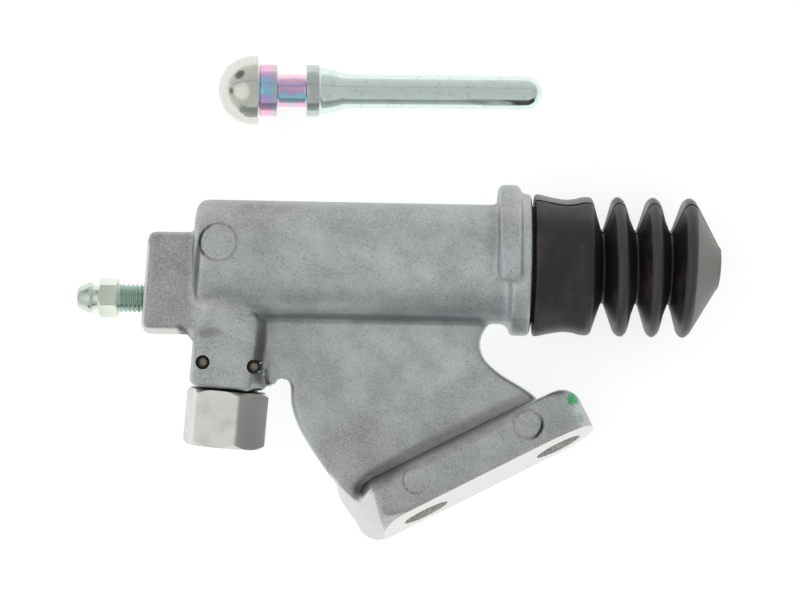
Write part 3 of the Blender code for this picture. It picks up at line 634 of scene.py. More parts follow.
@dataclass(frozen=True)
class CastSkin:
    """The grey skin of a pressure casting, with flow marks, pores and ejector circles, and painted shade and
    highlights.
    """

    light: Triple = (0.73, 0.775, 0.785)
    dark: Triple = (0.50, 0.535, 0.55)
    shade: Triple = (0.31, 0.305, 0.285)
    # Bright colour painted on steep walls and in spots as a highlight, for the bright table's reflection
    painted_highlight: Triple = (0.84, 0.84, 0.81)
    # Dark colour for pores, and for the painted shade in corners and creases
    crevice: Triple = (0.10, 0.095, 0.09)
    # Dark colour for the ejector circles' lines and for the painted shadow on one side of each
    stain: Triple = (0.045, 0.035, 0.03)
    paint: Triple = (0.05, 0.42, 0.16)
    metallic: float = 0.85
    roughness: float = 0.44

    def material(self, casting: Casting, datum: Datum) -> Material:
        """Builds the material, with its marks, painted shade and painted highlights where the casting says.

        Args:
            casting: The casting.
            datum: Where the mouth is.

        Returns:
            The material.
        """
        n = Nodes("cast_skin")
        grain = n.noise(3.2, 5.0, 0.75)
        colour = n.mix(n.ramp(n.noise(0.12, 6.0, 0.65), 0.3, 0.7), self.dark, self.light)
        for way, place, reach, share in casting.tones:
            colour = n.over(colour, self.shade, n.ramp(n.axis(way, datum.spot(*place)), 0.0, reach), share)
        colour = n.over(colour, self.light, n.ramp(grain, 0.5, 0.62), 0.6)
        colour = n.over(colour, self.crevice, n.ramp(grain, 0.48, 0.36), 0.45)
        upward = n.facing(UP)
        open_air = n.crevice(4.5)
        steep = n.times(n.ramp(upward, 0.92, 0.74), n.ramp(open_air, 0.45, 0.75))
        # Painted highlight: open steep walls at the flange's heel and the block's end are painted bright
        for way, place, middle, radius in casting.painted_highlight:
            past = n.ramp(n.axis(way, datum.spot(*place)), -0.1, 0.5)
            near = n.ramp(n.distance(datum.spot(*middle)), radius, radius - 2.0)
            colour = n.over(colour, self.painted_highlight, past, steep, near, 0.8)
        # Painted shade in dark ellipses and painted highlights in light ones, on up-facing and steep skin
        for place, long, wide, angle, share in casting.shadows:
            way, spot = heading(angle), datum.spot(*place)
            along = n.math("DIVIDE", n.axis(way, spot), long)
            across = n.math("DIVIDE", n.axis(-square(way), spot), wide)
            off = n.math("ADD", n.times(along, along), n.times(across, across))
            target = self.crevice if share > 0 else self.painted_highlight
            colour = n.over(colour, target, n.ramp(off, 1.0, 0.0), n.ramp(upward, -0.3, 0.05), abs(share))
        colour = n.over(colour, self.crevice, n.ramp(n.noise(1.7, 2.0, 0.5), 0.31, 0.27), 0.45)
        height = n.math("ADD", n.times(grain, 0.7), n.noise(0.5, 3.0, 0.5))
        for mark in casting.marks:
            centre = datum.spot(*mark.centre)
            off = n.math("ABSOLUTE", n.math("SUBTRACT", n.distance(centre), mark.radius))
            # Painted shadow: each circle's line is darkened more towards its dark side
            side = n.axis(heading(mark.dark_side), centre)
            crescent = n.ramp(side, mark.radius * mark.reach, mark.radius * 0.95)
            broken = n.math("MULTIPLY_ADD", n.ramp(n.noise(0.9, 3.0, 0.6), 0.35, 0.55), 0.6, 0.4)
            line = n.times(n.ramp(off, mark.width, 0.0), n.ramp(upward, 0.25, 0.6), broken)
            strength = n.math("MULTIPLY_ADD", crescent, mark.strength, mark.faint)
            colour = n.over(colour, self.stain, line, strength)
            height = n.math("MULTIPLY_ADD", line, -1.2, height)
        # Painted shade: narrow corners and creases, found by occlusion, are darkened towards the crevice
        # colour
        colour = n.mix(n.ramp(open_air, 0.35, 0.95), n.mix(0.6, colour, self.crevice), colour)
        brushed = n.noise(0.6, 5.0, 0.7)
        for place, size, share in casting.paint:
            edge = n.math("MULTIPLY_ADD", brushed, 5.2, n.distance(datum.spot(*place)))
            colour = n.over(colour, self.paint, n.ramp(edge, size, size - 1.2), share)
        rough = n.math("MULTIPLY_ADD", grain, 0.2, self.roughness - 0.1)
        return n.finish(colour, rough, self.metallic, n.bump(height, 0.6, 0.09))


@dataclass(frozen=True)
class MilledFace:
    """Freshly cut alloy: bright, with fine arcs from the cutter."""

    colour: Triple = (0.86, 0.86, 0.84)
    roughness: float = 0.34
    rate: float = 11.0

    def material(self, name: str, centre: Triple) -> Material:
        """Builds the material, its tool marks running round the given place.

        Args:
            name: The material's name.
            centre: The place in the frame.

        Returns:
            The material.
        """
        n = Nodes(name)
        rings = n.math("SINE", n.times(n.distance(centre, flat=False), self.rate))
        grain = n.noise(1.6, 3.0, 0.6)
        height = n.math("MULTIPLY_ADD", rings, 0.25, grain)
        colour = n.mix(n.ramp(grain, 0.4, 0.7), self.colour, darker(self.colour, 0.86))
        return n.finish(colour, self.roughness, 0.9, n.bump(height, 0.25, 0.03))


@dataclass(frozen=True)
class BoredWall:
    """The grey, torn wall of a drilled or cored hole."""

    light: Triple = (0.86, 0.85, 0.82)
    dark: Triple = (0.50, 0.50, 0.48)

    def material(self) -> Material:
        """Builds the material.

        Returns:
            The material.
        """
        n = Nodes("bored_wall")
        speck = n.noise(1.9, 4.0, 0.75)
        colour = n.mix(n.ramp(speck, 0.38, 0.6), self.dark, self.light)
        return n.finish(colour, 0.5, 0.7, n.bump(speck, 0.5, 0.08))


@dataclass(frozen=True)
class MouldedRubber:
    """Black rubber with a satin skin, faint bloom and fine scuffs; on a boot, with painted sheen beside its
    parting line, on its crests and on its lower side.
    """

    name: str = "moulded_rubber"
    colour: Triple = (0.020, 0.016, 0.016)
    worn: Triple = (0.17, 0.165, 0.15)
    # Lighter grey painted beside the parting line as sheen
    rim: Triple = (0.26, 0.25, 0.23)
    # Grey painted as sheen on the crests and on the lower side
    band: Triple = (0.05, 0.046, 0.048)
    bloom: Triple = (0.063, 0.056, 0.053)
    dust: Triple = (0.25, 0.24, 0.23)
    groove: Triple = (0.001, 0.001, 0.001)
    roughness: float = 0.36

    def material(self, boot: DustBoot | None = None, datum: Datum | None = None) -> Material:
        """Builds the material.

        Args:
            boot: The boot whose zones and parting line are shown, if it is for a boot.
            datum: Where the mouth is, if it is for a boot.

        Returns:
            The material.
        """
        n = Nodes(self.name)
        haze = n.noise(0.12, 4.0, 0.6)
        colour = n.mix(n.ramp(haze, 0.45, 0.75), self.colour, self.bloom)
        more: dict[str, object] = {}
        if boot is not None and datum is not None:
            mouth = datum.spot(0.0, 0.0, 0.0)
            along = n.axis((1.0, 0.0, 0.0), mouth)
            colour = n.mix(n.ramp(along, boot.end - 8.6, boot.end - 6.4), colour, self.worn)
            part = n.axis(boot.parting(), mouth)
            # Painted sheen: a band on one side of the parting line is lightened
            colour = n.over(colour, self.rim, n.ramp(part, 0.15, 0.7), n.ramp(part, 10.0, 3.0), 0.7)
            # Painted sheen: a grey band along each fold's crest
            for crest, lean in boot.crests():
                band = n.math("ABSOLUTE", n.axis((1.0, -math.tan(lean), 0.0), datum.spot(crest, 0.0, 0.0)))
                colour = n.mix(n.ramp(band, 1.35, 1.05), colour, self.band)
            # Painted sheen: the lower side is lightened towards the grey band colour
            low = n.ramp(n.axis((0.0, -1.0, 0.0), datum.spot(0.0, -6.0, 0.0)), 0.0, 8.0)
            colour = n.over(colour, self.band, low, 0.5)
            line = n.ramp(n.math("ABSOLUTE", part), 0.42, 0.22)
            colour = n.mix(line, colour, self.groove)
            more = {"Specular_IOR_Level": n.math("MULTIPLY_ADD", line, -0.5, 0.5)}
        colour = n.over(colour, self.dust, n.ramp(n.noise(3.0, 3.0, 0.7), 0.68, 0.76), 0.5)
        rough = n.math("MULTIPLY_ADD", haze, 0.25, self.roughness - 0.1)
        return n.finish(colour, rough, 0.0, n.bump(n.noise(1.4, 4.0, 0.6), 0.25, 0.04), IOR=1.5, **more)


@dataclass(frozen=True)
class ZincPlate:
    """Bright zinc plating. Bands of tint run along one axis, where the passivation is thick."""

    name: str
    colour: Triple = (0.72, 0.76, 0.75)
    pit: Triple = (0.25, 0.25, 0.24)
    roughness: float = 0.24
    bands: tuple[tuple[float, Triple], ...] = ()
    start: Triple = (0.0, 0.0, 0.0)
    way: Triple = (1.0, 0.0, 0.0)
    length: float = 1.0
    blotch: float = 0.0

    def material(self) -> Material:
        """Builds the material. A band is (share of the length, colour).

        Returns:
            The material.
        """
        n = Nodes(self.name)
        stain = n.noise(0.3, 4.0, 0.6)
        colour = n.mix(n.ramp(stain, 0.4, 0.7), self.colour, darker(self.colour, 0.9))
        if self.bands:
            along = n.math("DIVIDE", n.axis(self.way, self.start), self.length)
            wander = n.math("SUBTRACT", n.noise(0.45, 2.0, 0.5), 0.5)
            colour = n.colours(n.math("MULTIPLY_ADD", wander, self.blotch, along), self.bands)
        colour = n.over(colour, self.pit, n.ramp(n.noise(1.6, 3.0, 0.6), 0.36, 0.3), 0.25)
        drawn = n.noise(1.0, 3.0, 0.6, n.stretched((0.12, 1.0, 1.0)))
        rough = n.math("MULTIPLY_ADD", stain, 0.2, self.roughness - 0.08)
        return n.finish(colour, rough, 1.0, n.bump(drawn, 0.18, 0.03))


@dataclass(frozen=True)
class TurnedSteel:
    """Machined metal with fine tool marks across one axis."""

    name: str
    colour: Triple
    roughness: float = 0.3
    metallic: float = 1.0
    way: Triple = (1.0, 0.0, 0.0)
    pitch: float = 0.22

    def material(self, shadow: tuple[Triple, float] | None = None) -> Material:
        """Builds the material.

        Args:
            shadow: A place and how far along the way from it the metal is painted black as shade, if any.

        Returns:
            The material.
        """
        n = Nodes(self.name)
        along = n.axis(self.way, (0.0, 0.0, 0.0))
        tool = n.math("SINE", n.times(along, 2 * math.pi / self.pitch))
        stain = n.noise(0.25, 4.0, 0.6)
        height = n.math("MULTIPLY_ADD", tool, 0.2, n.noise(2.0, 2.0, 0.5))
        colour = n.mix(n.ramp(stain, 0.4, 0.7), self.colour, darker(self.colour, 0.88))
        if shadow is not None:
            near = n.axis(self.way, shadow[0])
            # Painted shade: black up to the given distance along the way
            colour = n.mix(n.ramp(near, shadow[1] + 0.1, shadow[1]), colour, (0.012, 0.011, 0.010))
        rough = n.math("MULTIPLY_ADD", stain, 0.15, self.roughness - 0.06)
        return n.finish(colour, rough, self.metallic, n.bump(height, 0.15, 0.02))


def plan_arc(start: float, end: float, near: float, edge: float, rows: np.ndarray) -> np.ndarray:
    """How much the ends of a band are drawn in, so that they look round from above."""
    return rounding(edge, edge - np.minimum(rows - start, end - rows) * near)


@dataclass(frozen=True)
class Barrel:
    """The tube round the bore, its end collar and the spigot that the boot grips."""

    radius: float = 13.75
    length: float = 77.0
    end_round: float = 2.6
    collar_radius: float = 16.4
    collar_length: float = 4.7
    collar_edge: float = 0.6
    spigot_radius: float = 13.2
    spigot_length: float = 11.5
    groove: Triple = (5.6, 8.8, 1.0)
    bore_radius: float = 9.525
    end_wall: float = 4.5
    stop_groove: Triple = (7.5, 9.3, 1.1)
    mouth_chamfer: float = 0.8
    steps: int = 128

    def surface(self) -> Surface:
        """The outside, turned about the bore's axis.

        Returns:
            The closed surface.
        """
        root = self.collar_radius - self.radius - self.collar_edge
        start, end, depth = self.groove
        floor = self.spigot_radius - depth
        edge = self.collar_edge
        profile = [
            [(-self.length, 1.0)],
            arc((-self.length + self.end_round, self.radius - self.end_round), self.end_round, 180, 90),
            arc((-self.collar_length - root, self.radius + root), root, -90, 0),
            arc((-self.collar_length + edge, self.collar_radius - edge), edge, 180, 90, 4),
            arc((-edge, self.collar_radius - edge), edge, 90, 0, 4),
            [(0.0, self.spigot_radius), (start, self.spigot_radius), (start, floor), (end, floor)],
            [(end, self.spigot_radius), (self.spigot_length - edge, self.spigot_radius)],
            [(self.spigot_length, self.spigot_radius - edge), (self.spigot_length, 1.0)],
        ]
        return turned(np.vstack(profile), self.steps)

    def bore(self) -> Surface:
        """The cutter for the bore, with the stop ring's groove and the chamfer at the mouth.

        Returns:
            The closed cutter.
        """
        bottom = -self.length + self.end_wall
        low, high, depth = self.stop_groove
        wide = self.bore_radius + depth
        mouth = self.spigot_length + self.mouth_chamfer
        narrow = self.spigot_length - self.mouth_chamfer
        r = self.bore_radius
        profile = [(bottom, 1.0), (bottom, r), (low, r), (low, wide), (high, wide), (high, r), (narrow, r)]
        profile += [(mouth, r + 2 * self.mouth_chamfer), (mouth, 1.0)]
        return turned(profile, self.steps)


@dataclass(frozen=True)
class LocatingRib:
    """The band that stands up round the top of the barrel next to its collar."""

    radius: float = 18.45
    root: float = 11.75
    width: float = 5.2
    setback: float = 2.5
    front: float = -13.0
    back: float = 150.0
    edge: float = 1.3
    end_round: float = 1.8
    rows: int = 150

    def surface(self) -> Surface:
        """A rounded section swept round the axis: at angle a it stands at (x, r sin a, r cos a).

        Returns:
            The closed surface.
        """
        first, last = math.radians(self.front), math.radians(self.back)
        angle = np.linspace(first, last, self.rows)
        drawn = plan_arc(first, last, self.radius, self.end_round, angle)
        half = self.width / 2
        top = self.radius - self.edge
        section = np.vstack(
            [
                [(-half, self.root), (half, self.root)],
                arc((half - self.edge, top), self.edge, 0, 90, 7),
                arc((-half + self.edge, top), self.edge, 90, 180, 7),
            ]
        )
        x = section[None, :, 0] * (1.0 - drawn[:, None] / half) - self.setback - half
        lift = 0.45 * drawn[:, None] * (section[None, :, 1] > self.root)
        r = section[None, :, 1] - lift
        rings = np.stack([x, r * np.sin(angle)[:, None], r * np.cos(angle)[:, None]], -1)
        return lofted(rings)


@dataclass(frozen=True)
class BleedBlock:
    """The block at the closed end with the bleed screw's hole, and the gallery boss beside it."""

    start: float = -89.1
    end: float = -73.8
    low: float = -17.7
    high: float = 6.0
    half_depth: float = 8.3
    edge: float = 1.7
    lean: float = 0.062
    under_draft: float = 1.1
    gallery_y: float = -9.4
    gallery_radius: float = 8.0
    gallery_ends: Pair = (-81.0, -64.0)
    gallery_rim: float = 3.2
    thread_radius: float = 3.6
    seat_x: float = -78.3
    seat_length: float = 1.2
    drill_radius: float = 1.5
    drill_end: float = -70.5

    def surface(self) -> Surface:
        """The block is a rounded bar whose outer face leans as the port does.

        Returns:
            The closed surface.
        """
        outline = rounded_rectangle(self.low, self.high, -self.half_depth, self.half_depth, self.edge)
        *corners, last = np.split(outline, 4)
        rises = np.linspace(-self.half_depth + self.edge, self.half_depth - self.edge, 8)[1:-1]
        left = np.stack([np.full_like(rises, self.low), rises[::-1]], -1)
        outline = np.vstack([*corners, left, last])
        block = prism(outline, *eased(self.start, self.end, self.edge))
        block = block.moved((0, 0, 0), [[0, 1, 0], [0, 0, 1], [1, 0, 0]])
        x, y = block.points[:, 0], block.points[:, 1]
        near = held((self.end - 4.0 - x) / (self.end - 4.0 - self.start))
        block.points[:, 0] = x + self.lean * (y - self.low) * near
        under = held((self.low + 4.0 - y) / 4.0)
        outer = held(np.abs(block.points[:, 2]) / 6.0)
        block.points[:, 1] = y + self.under_draft * under * outer
        low, high = self.gallery_ends
        rim = self.gallery_rim
        corner = arc((high - rim, self.gallery_radius - rim), rim, 90, 0)
        profile = np.vstack([[(low, 1.0), (low, self.gallery_radius)], corner, [(high, 1.0)]])
        gallery = turned(profile, 64).moved((0, self.gallery_y, 0), np.eye(3))
        return joined(block, gallery)

    def bleed_hole(self) -> Surface:
        """The cutter for the screw's thread, its seat and the drilling into the bore.

        Returns:
            The closed cutter.
        """
        r = self.thread_radius
        profile = [(self.start - 1.0, 1.0), (self.start - 1.0, r + 1.0), (self.start + 0.5, r)]
        profile += [(self.seat_x, r), (self.seat_x + self.seat_length, self.drill_radius)]
        profile += [(self.drill_end, self.drill_radius), (self.drill_end, 0.5)]
        return turned(profile, 48).moved((0, self.gallery_y, 0), np.eye(3))


@dataclass(frozen=True)
class Saddle:
    """The swelling that blends the barrel into the gallery and the port boss."""

    section: tuple[Pair, ...] = (
        (1.5, 12.9), (-4.0, 12.6), (-7.0, 11.6), (-9.5, 10.3), (-12.0, 9.35), (-14.5, 8.95),
        (-17.0, 8.75), (-20.0, 8.7),
    )
    start: float = -80.6
    end: float = -60.4
    draft: float = 2.0
    floor: float = 7.9
    dimple: tuple[float, float, float, float, float] = (-73.6, -16.7, 2.8, 1.1, 0.8)
    barrel: float = 13.5
    rows: int = 60

    def surface(self) -> Surface:
        """Height z(x, y): the section over y, sinking to the floor towards the closed end.

        Where y is nearer the bore the sinking starts later, so the barrel's end stays crisp. A dimple
        d exp(-(x/a)² - (y/b)²) is taken off, the far end slopes as the boss's wall does, and beside
        the barrel it fades into the barrel's own round.

        Returns:
            The closed surface.
        """
        y, height = curve(self.section, 6).T
        x = np.linspace(self.start, self.end, self.rows)[:, None]
        sunk = np.interp(-y, (7.5, 12.0), (-73.6, -79.6))
        reach = np.interp(-y, (7.5, 12.0), (2.4, 6.0))
        t = held((sunk + reach - x) / reach)
        z = height - (height - self.floor) * smooth(t)
        cx, cy, wide, long, depth = self.dimple
        z = z - depth * np.exp(-(((x - cx) / wide) ** 2) - ((y - cy) / long) ** 2)
        drop = held((x - self.end + self.draft) / self.draft)
        z = z * (1.0 - drop) + 2.4 * drop
        barrel = np.sqrt(np.maximum(self.barrel**2 - y**2, 0.0)) - 0.15
        fade = held((x - np.interp(-y, (10.5, 13.4), (-66.5, -63.0))) / 3.6)
        fade = smooth(fade) * held((y + 13.6) / 1.4)
        z = z - np.maximum(z - barrel, 0.0) * fade
        x, y = np.broadcast_arrays(x, y)
        y = np.where(y < -12.0, -12.0 + (y + 12.0) * np.interp(x, (-79.5, -76.0), (0.5, 1.0)), y)
        top = np.stack([x, y, z], -1)
        return lofted(np.concatenate([top, (top * [1.0, 1.0, -1.0])[:, ::-1]], 1))


@dataclass(frozen=True)
class PortBoss:
    """The boss that the pipe union turns in. Its walls lean in, as the mould opens up and down."""

    x: float = -68.7
    y: float = -24.05
    lean: float = 4.0
    half_width: float = 9.2
    half_depth: float = 9.0
    corner: float = 1.1
    step: float = 2.6
    left_draft: Pair = (0.3, 1.0)
    right_draft: Pair = (1.7, 3.2)
    face: float = 5.6
    bow: float = 0.5
    root: float = 8.4
    edge: float = 0.9
    socket_radius: float = 7.15
    socket_end: float = 10.2
    cone: float = 1.8
    feed_radius: float = 2.0
    feed_end: float = 16.6
    pin_radius: float = 1.62
    pin_spacing: float = 11.7

    def axis(self) -> np.ndarray:
        """The way out of the port."""
        return square(self.side())

    def side(self) -> np.ndarray:
        """Across the port, towards the boot."""
        return heading(-self.lean)

    def along(self, surface: Surface) -> Surface:
        """Lays a turned surface along the port's axis."""
        return surface.moved((self.x, self.y, 0.0), [self.axis(), self.side(), UP])

    def surface(self) -> Surface:
        """Rings along the axis. Each wall leans in above and below the web, more at the front.

        Returns:
            The closed surface.
        """
        wide, deep = self.half_width, self.half_depth
        outline = rounded_rectangle(-wide, wide, -deep, deep, self.corner)
        wall = np.linspace(-deep + self.corner, deep - self.corner, 12)[1:-1]
        right = np.stack([np.full_like(wall, wide), wall], -1)
        left = np.stack([np.full_like(wall, -wide), wall[::-1]], -1)
        first, *upper, last = np.split(outline, 4)
        outline = np.vstack([first, right, *upper, left, last])
        levels, inset = eased(-self.root, self.face, self.edge)
        levels = np.insert(levels, ROUND_STEPS, (-5.0, -1.0))
        boss = prism(outline, levels, np.insert(inset, ROUND_STEPS, (0.0, 0.0)))
        across, up, out = boss.points.T
        height = np.abs(up)
        front = 1.0 + 0.25 * held((out + 10.0) / (self.face + 10.0))
        for draft, side in ((self.left_draft, across < 0), (self.right_draft, across > 0)):
            drawn = np.interp(height, (0.0, self.step, deep), (0.0, *draft)) * front
            across = np.where(side, across * (1.0 - drawn / wide), across)
        boss.points[:, 0] = across
        bow = self.bow * (1.0 - (across / wide) ** 2) - self.bow * 0.4
        boss.points[:, 2] = out + bow * held(out / self.face)
        return boss.moved((self.x, self.y, 0.0), [self.side(), UP, self.axis()])

    def socket(self) -> Surface:
        """The cutter for the union's socket, its cone and the drilling into the bore.

        Returns:
            The closed cutter.
        """
        rim, r, end = self.face + 1.0, self.socket_radius, -self.socket_end
        profile = [(rim, 1.0), (rim, r), (end, r), (end - self.cone, self.feed_radius)]
        profile += [(-self.feed_end, self.feed_radius), (-self.feed_end, 0.5)]
        return self.along(turned(profile, 72))

    def pin_centre(self, sign: int) -> np.ndarray:
        """Where a pin stands across the socket."""
        return np.array([self.x, self.y, 0.0]) + sign * self.pin_spacing / 2 * self.side()

    def pin_hole(self, sign: int) -> Surface:
        """The cutter for one pin's hole.

        Args:
            sign: -1 for the left pin and 1 for the right one.

        Returns:
            The closed cutter.
        """
        reach = self.half_depth + 1.0
        profile = [(-reach, 0.4), (-reach, self.pin_radius), (reach, self.pin_radius), (reach, 0.4)]
        return turned(profile, 40).moved(self.pin_centre(sign), UPRIGHT)


@dataclass(frozen=True)
class Flange:
    """The bolt flange. Its long way leans up towards the boot, and its mount face leans back."""

    x: float = -7.55
    y: float = -50.1
    z: float = -6.5
    angle: float = 27.6
    tilt: float = 12.0
    left_back: tuple[Pair, ...] = (
        (-20.0, 9.0), (-24.4, 9.0), (-25.3, 8.4), (-27.4, 5.4), (-29.2, 2.0), (-31.0, -3.5),
        (-32.3, -9.0), (-33.1, -14.5), (-33.1, -16.2), (-32.4, -16.5),
    )
    left_front: tuple[Pair, ...] = (
        (-13.0, 9.0), (-18.2, 8.6), (-21.2, 7.3), (-23.5, 5.2), (-25.2, 2.0), (-26.8, -3.5),
        (-27.8, -9.0), (-28.3, -14.0), (-28.3, -16.1), (-27.6, -16.5),
    )
    splay: float = 1.1
    right: float = 26.4
    right_taper: Pair = (21.0, 3.2)
    right_lean: float = 2.0
    bench: float = -16.5
    top: float = 9.0
    top_fall: float = 1.1
    right_round: float = 11.5
    back: float = -13.0
    front: float = 7.0
    edge: float = 0.9
    hole_radius: float = 5.6
    hole_spacing: float = 34.4
    pocket_radius: float = 8.5
    pocket_depth: float = 8.0

    def way(self) -> np.ndarray:
        """Along the flange, from its left end to its right end."""
        return heading(self.angle)

    def out(self) -> np.ndarray:
        """Level, away from the barrel."""
        return square(self.way())

    def normal(self) -> np.ndarray:
        """Out of the mount face."""
        tilt = math.radians(self.tilt)
        return self.out() * math.cos(tilt) + np.array([0.0, 0.0, math.sin(tilt)])

    def centre(self) -> np.ndarray:
        """Between the two bolt holes, on the mount face."""
        return np.array([self.x, self.y, self.z])

    def surface(self) -> Surface:
        """A bar from behind the web to beyond the mount face.

        Its right end is round and thinner. Its left end slopes out to a heel on the bench: the
        profile there goes from left_back to left_front by 1 - sqrt(1 - t²) as it nears the mount
        face, and its back corner is rounded more towards the web.

        Returns:
            The closed surface.
        """
        r = self.right_round
        back, front = curve(self.left_back, 6), curve(self.left_front, 6)
        lower = arc((self.right - r, self.bench + r), r, -90, 0, 16)
        upper = arc((self.right - r, self.top - r), r, 0, 90, 16)
        outline = np.vstack([lower, upper, back])
        levels, inset = eased(self.back, self.front, self.edge)
        rows = np.linspace(self.back + self.edge, self.front - self.edge, 40)[1:-1]
        levels = np.insert(levels, ROUND_STEPS, rows)
        slab = prism(outline, levels, np.insert(inset, ROUND_STEPS, np.zeros(len(rows))))
        rings = slab.points[:-2].reshape(-1, len(outline), 3)
        left = rings[:, len(lower) + len(upper) :]
        face = -(front[:, 1] - self.z) * math.tan(math.radians(self.tilt))
        reach = np.interp(front[:, 1], (self.bench, self.top), (5.0, 3.6))
        z, out = left[..., 1], left[..., 2]
        share = rounding(1.0, (out - face + reach) / reach)
        high = held((z - self.bench) / (self.top - self.bench))
        along = held((out + 12.0) / 8.0) * held((-20.0 - left[..., 0]) / 4.0)
        corner = np.interp(z, (2.6, self.top), (3.6, 0.5))
        bite = rounding(1.0, (self.back + corner - out) / corner)
        left[..., 0] += corner * bite - self.splay * high * along * (1.0 - share)
        left[..., :2] += share[..., None] * (front - back)
        u, z_all, out = slab.points.T
        fall = self.top_fall * held((out + 11.0) / 8.0) * held((u + 25.0) / 8.0)
        slab.points[:, 1] -= fall * held((z_all - 5.0) / 3.0)
        start, depth = self.right_taper
        taper = held((u - start) / (self.right - start)) ** 3
        lean = self.right_lean * held((u - 14.0) / 4.0)
        lean = lean * (self.top - z_all) / (self.top - self.bench)
        slab.points[:, 2] = out + (depth * taper + lean) * held((-5.0 - out) / 7.0)
        return slab.moved((self.x, self.y, 0.0), [self.way(), UP, self.out()])

    def waste(self) -> Surface:
        """The cutter in front of the mount face.

        Returns:
            The closed cutter.
        """
        slab = prism(rounded_rectangle(-60.0, 60.0, -60.0, 60.0, 1.0), [0.0, 40.0], [0.0, 0.0])
        across = np.cross(self.normal(), self.way())
        return slab.moved(self.centre(), [self.way(), across, self.normal()])

    def bolt(self, sign: int) -> Surface:
        """The cutter for a bolt's hole and, behind it, the room for the bolt's head.

        Args:
            sign: -1 for the left bolt and 1 for the right one.

        Returns:
            The closed cutter.
        """
        seat = self.back - self.hole_radius * math.sin(math.radians(self.tilt))
        end = seat - self.pocket_depth
        r, wide = self.hole_radius, self.pocket_radius
        beyond = self.front + 8.0
        profile = [(end, 1.0), (end, wide), (seat, wide), (seat, r), (beyond, r), (beyond, 1.0)]
        across = np.cross(self.normal(), self.way())
        return turned(profile, 72).moved(self.hole(sign), [self.normal(), self.way(), across])

    def hole(self, sign: int) -> np.ndarray:
        """Where a bolt's axis meets the mount face."""
        return self.centre() + sign * self.hole_spacing / 2 * self.way()


@dataclass(frozen=True)
class Web:
    """The thin wall from the barrel to the flange, with a fillet along each."""

    half: float = 2.6
    edge: float = 1.0
    barrel_fillet: float = 0.9
    flange_fillet: float = 0.5
    top: float = -8.25
    notch: Triple = (-56.9, -29.3, 2.2)
    left: tuple[Pair, ...] = (
        (-54.3, -34.0), (-51.6, -40.4), (-44.9, -50.0), (-41.5, -53.6), (-37.9, -56.0),
        (-33.0, -58.0),
    )
    right: tuple[Pair, ...] = (
        (-7.4, -11.0), (-9.6, -14.2), (-11.1, -17.7), (-10.3, -21.5), (-6.4, -25.2), (1.8, -30.4),
    )
    pocket: tuple[float, float, float, float, float, float] = (-37.2, -51.9, 35.0, 3.0, 1.3, 1.5)
    crease: tuple[float, float, float, float] = (-33.75, -33.5, 24.2, 0.28)
    rows: int = 150
    columns: int = 110

    def side(self, knots: np.ndarray, rows: int) -> np.ndarray:
        """A side's curve, sampled evenly along its length.

        Args:
            knots: Places on the side.
            rows: How many places to return.

        Returns:
            Places in plan.
        """
        path = curve(knots, 24)
        length = np.concatenate([[0.0], np.cumsum(np.linalg.norm(np.diff(path, axis=0), axis=1))])
        even = np.linspace(0.0, length[-1], rows)
        return np.stack([np.interp(even, length, path[:, k]) for k in range(2)], -1)

    def surface(self, barrel: Barrel, flange: Flange) -> Surface:
        """The wall P(u, v) = (1 - u) L(v) + u R(v), at height ±t.

        t is half the thickness plus a quarter-circle rise near the barrel and near the flange,
        and falls away as a quarter circle along both free sides.

        Args:
            barrel: What its upper edge runs into.
            flange: What its lower edge runs into.

        Returns:
            The closed wall.
        """
        x, y, r = self.notch
        bite = arc((x, y), r, 180, 0, 13)
        inside = np.array([(-66.0, self.top), (-62.5, -20.0), (-60.2, -28.6)])
        end = flange.centre()[:2] + flange.way()[:2] * (flange.right - 9.0) - flange.out()[:2] * 6.0
        upper = self.side(inside, self.rows // 4)
        free = self.side(np.vstack([bite[-1:], self.left]), self.rows - self.rows // 4 - len(bite))
        left = np.vstack([upper, bite, free])
        right = self.side(np.vstack([[(-6.0, self.top)], self.right, [end]]), self.rows)
        share = (1.0 - np.cos(np.linspace(0.0, np.pi, self.columns))) / 2
        plan = left[:, None] * (1.0 - share[None, :, None]) + right[:, None] * share[None, :, None]
        px, py = plan[..., 0], plan[..., 1]
        behind = (plan - flange.centre()[:2]) @ flange.out()[:2] - flange.back
        rise = rounding(self.barrel_fillet, self.barrel_fillet - (-py - barrel.radius))
        rise = rise + rounding(self.flange_fillet, self.flange_fillet + behind)
        x, y, angle, long, wide, depth = self.pocket
        turn = math.radians(angle)
        along = (px - x) * math.cos(turn) + (py - y) * math.sin(turn)
        across = (py - y) * math.cos(turn) - (px - x) * math.sin(turn)
        rise = rise - depth * np.exp(-((along / long) ** 2) - (across / wide) ** 2)
        cx, cy, angle, depth = self.crease
        turn = math.radians(angle)
        beyond = (px - cx) * math.sin(turn) - (py - cy) * math.cos(turn)
        fold = depth / (1.0 + np.exp(-beyond / 1.1))
        span = np.linalg.norm(right - left, axis=1)[:, None]
        inward = np.minimum(share, 1.0 - share)[None, :] * span
        eased_edge = np.sqrt(1.0 - (1.0 - held(inward / self.edge)) ** 2)
        t = (self.half + rise - fold) * np.maximum(eased_edge, 0.25)
        upper_side = np.stack([px, py, t], -1)
        lower_side = np.stack([px, py, -t], -1)[:, ::-1]
        return lofted(np.concatenate([upper_side, lower_side], 1))


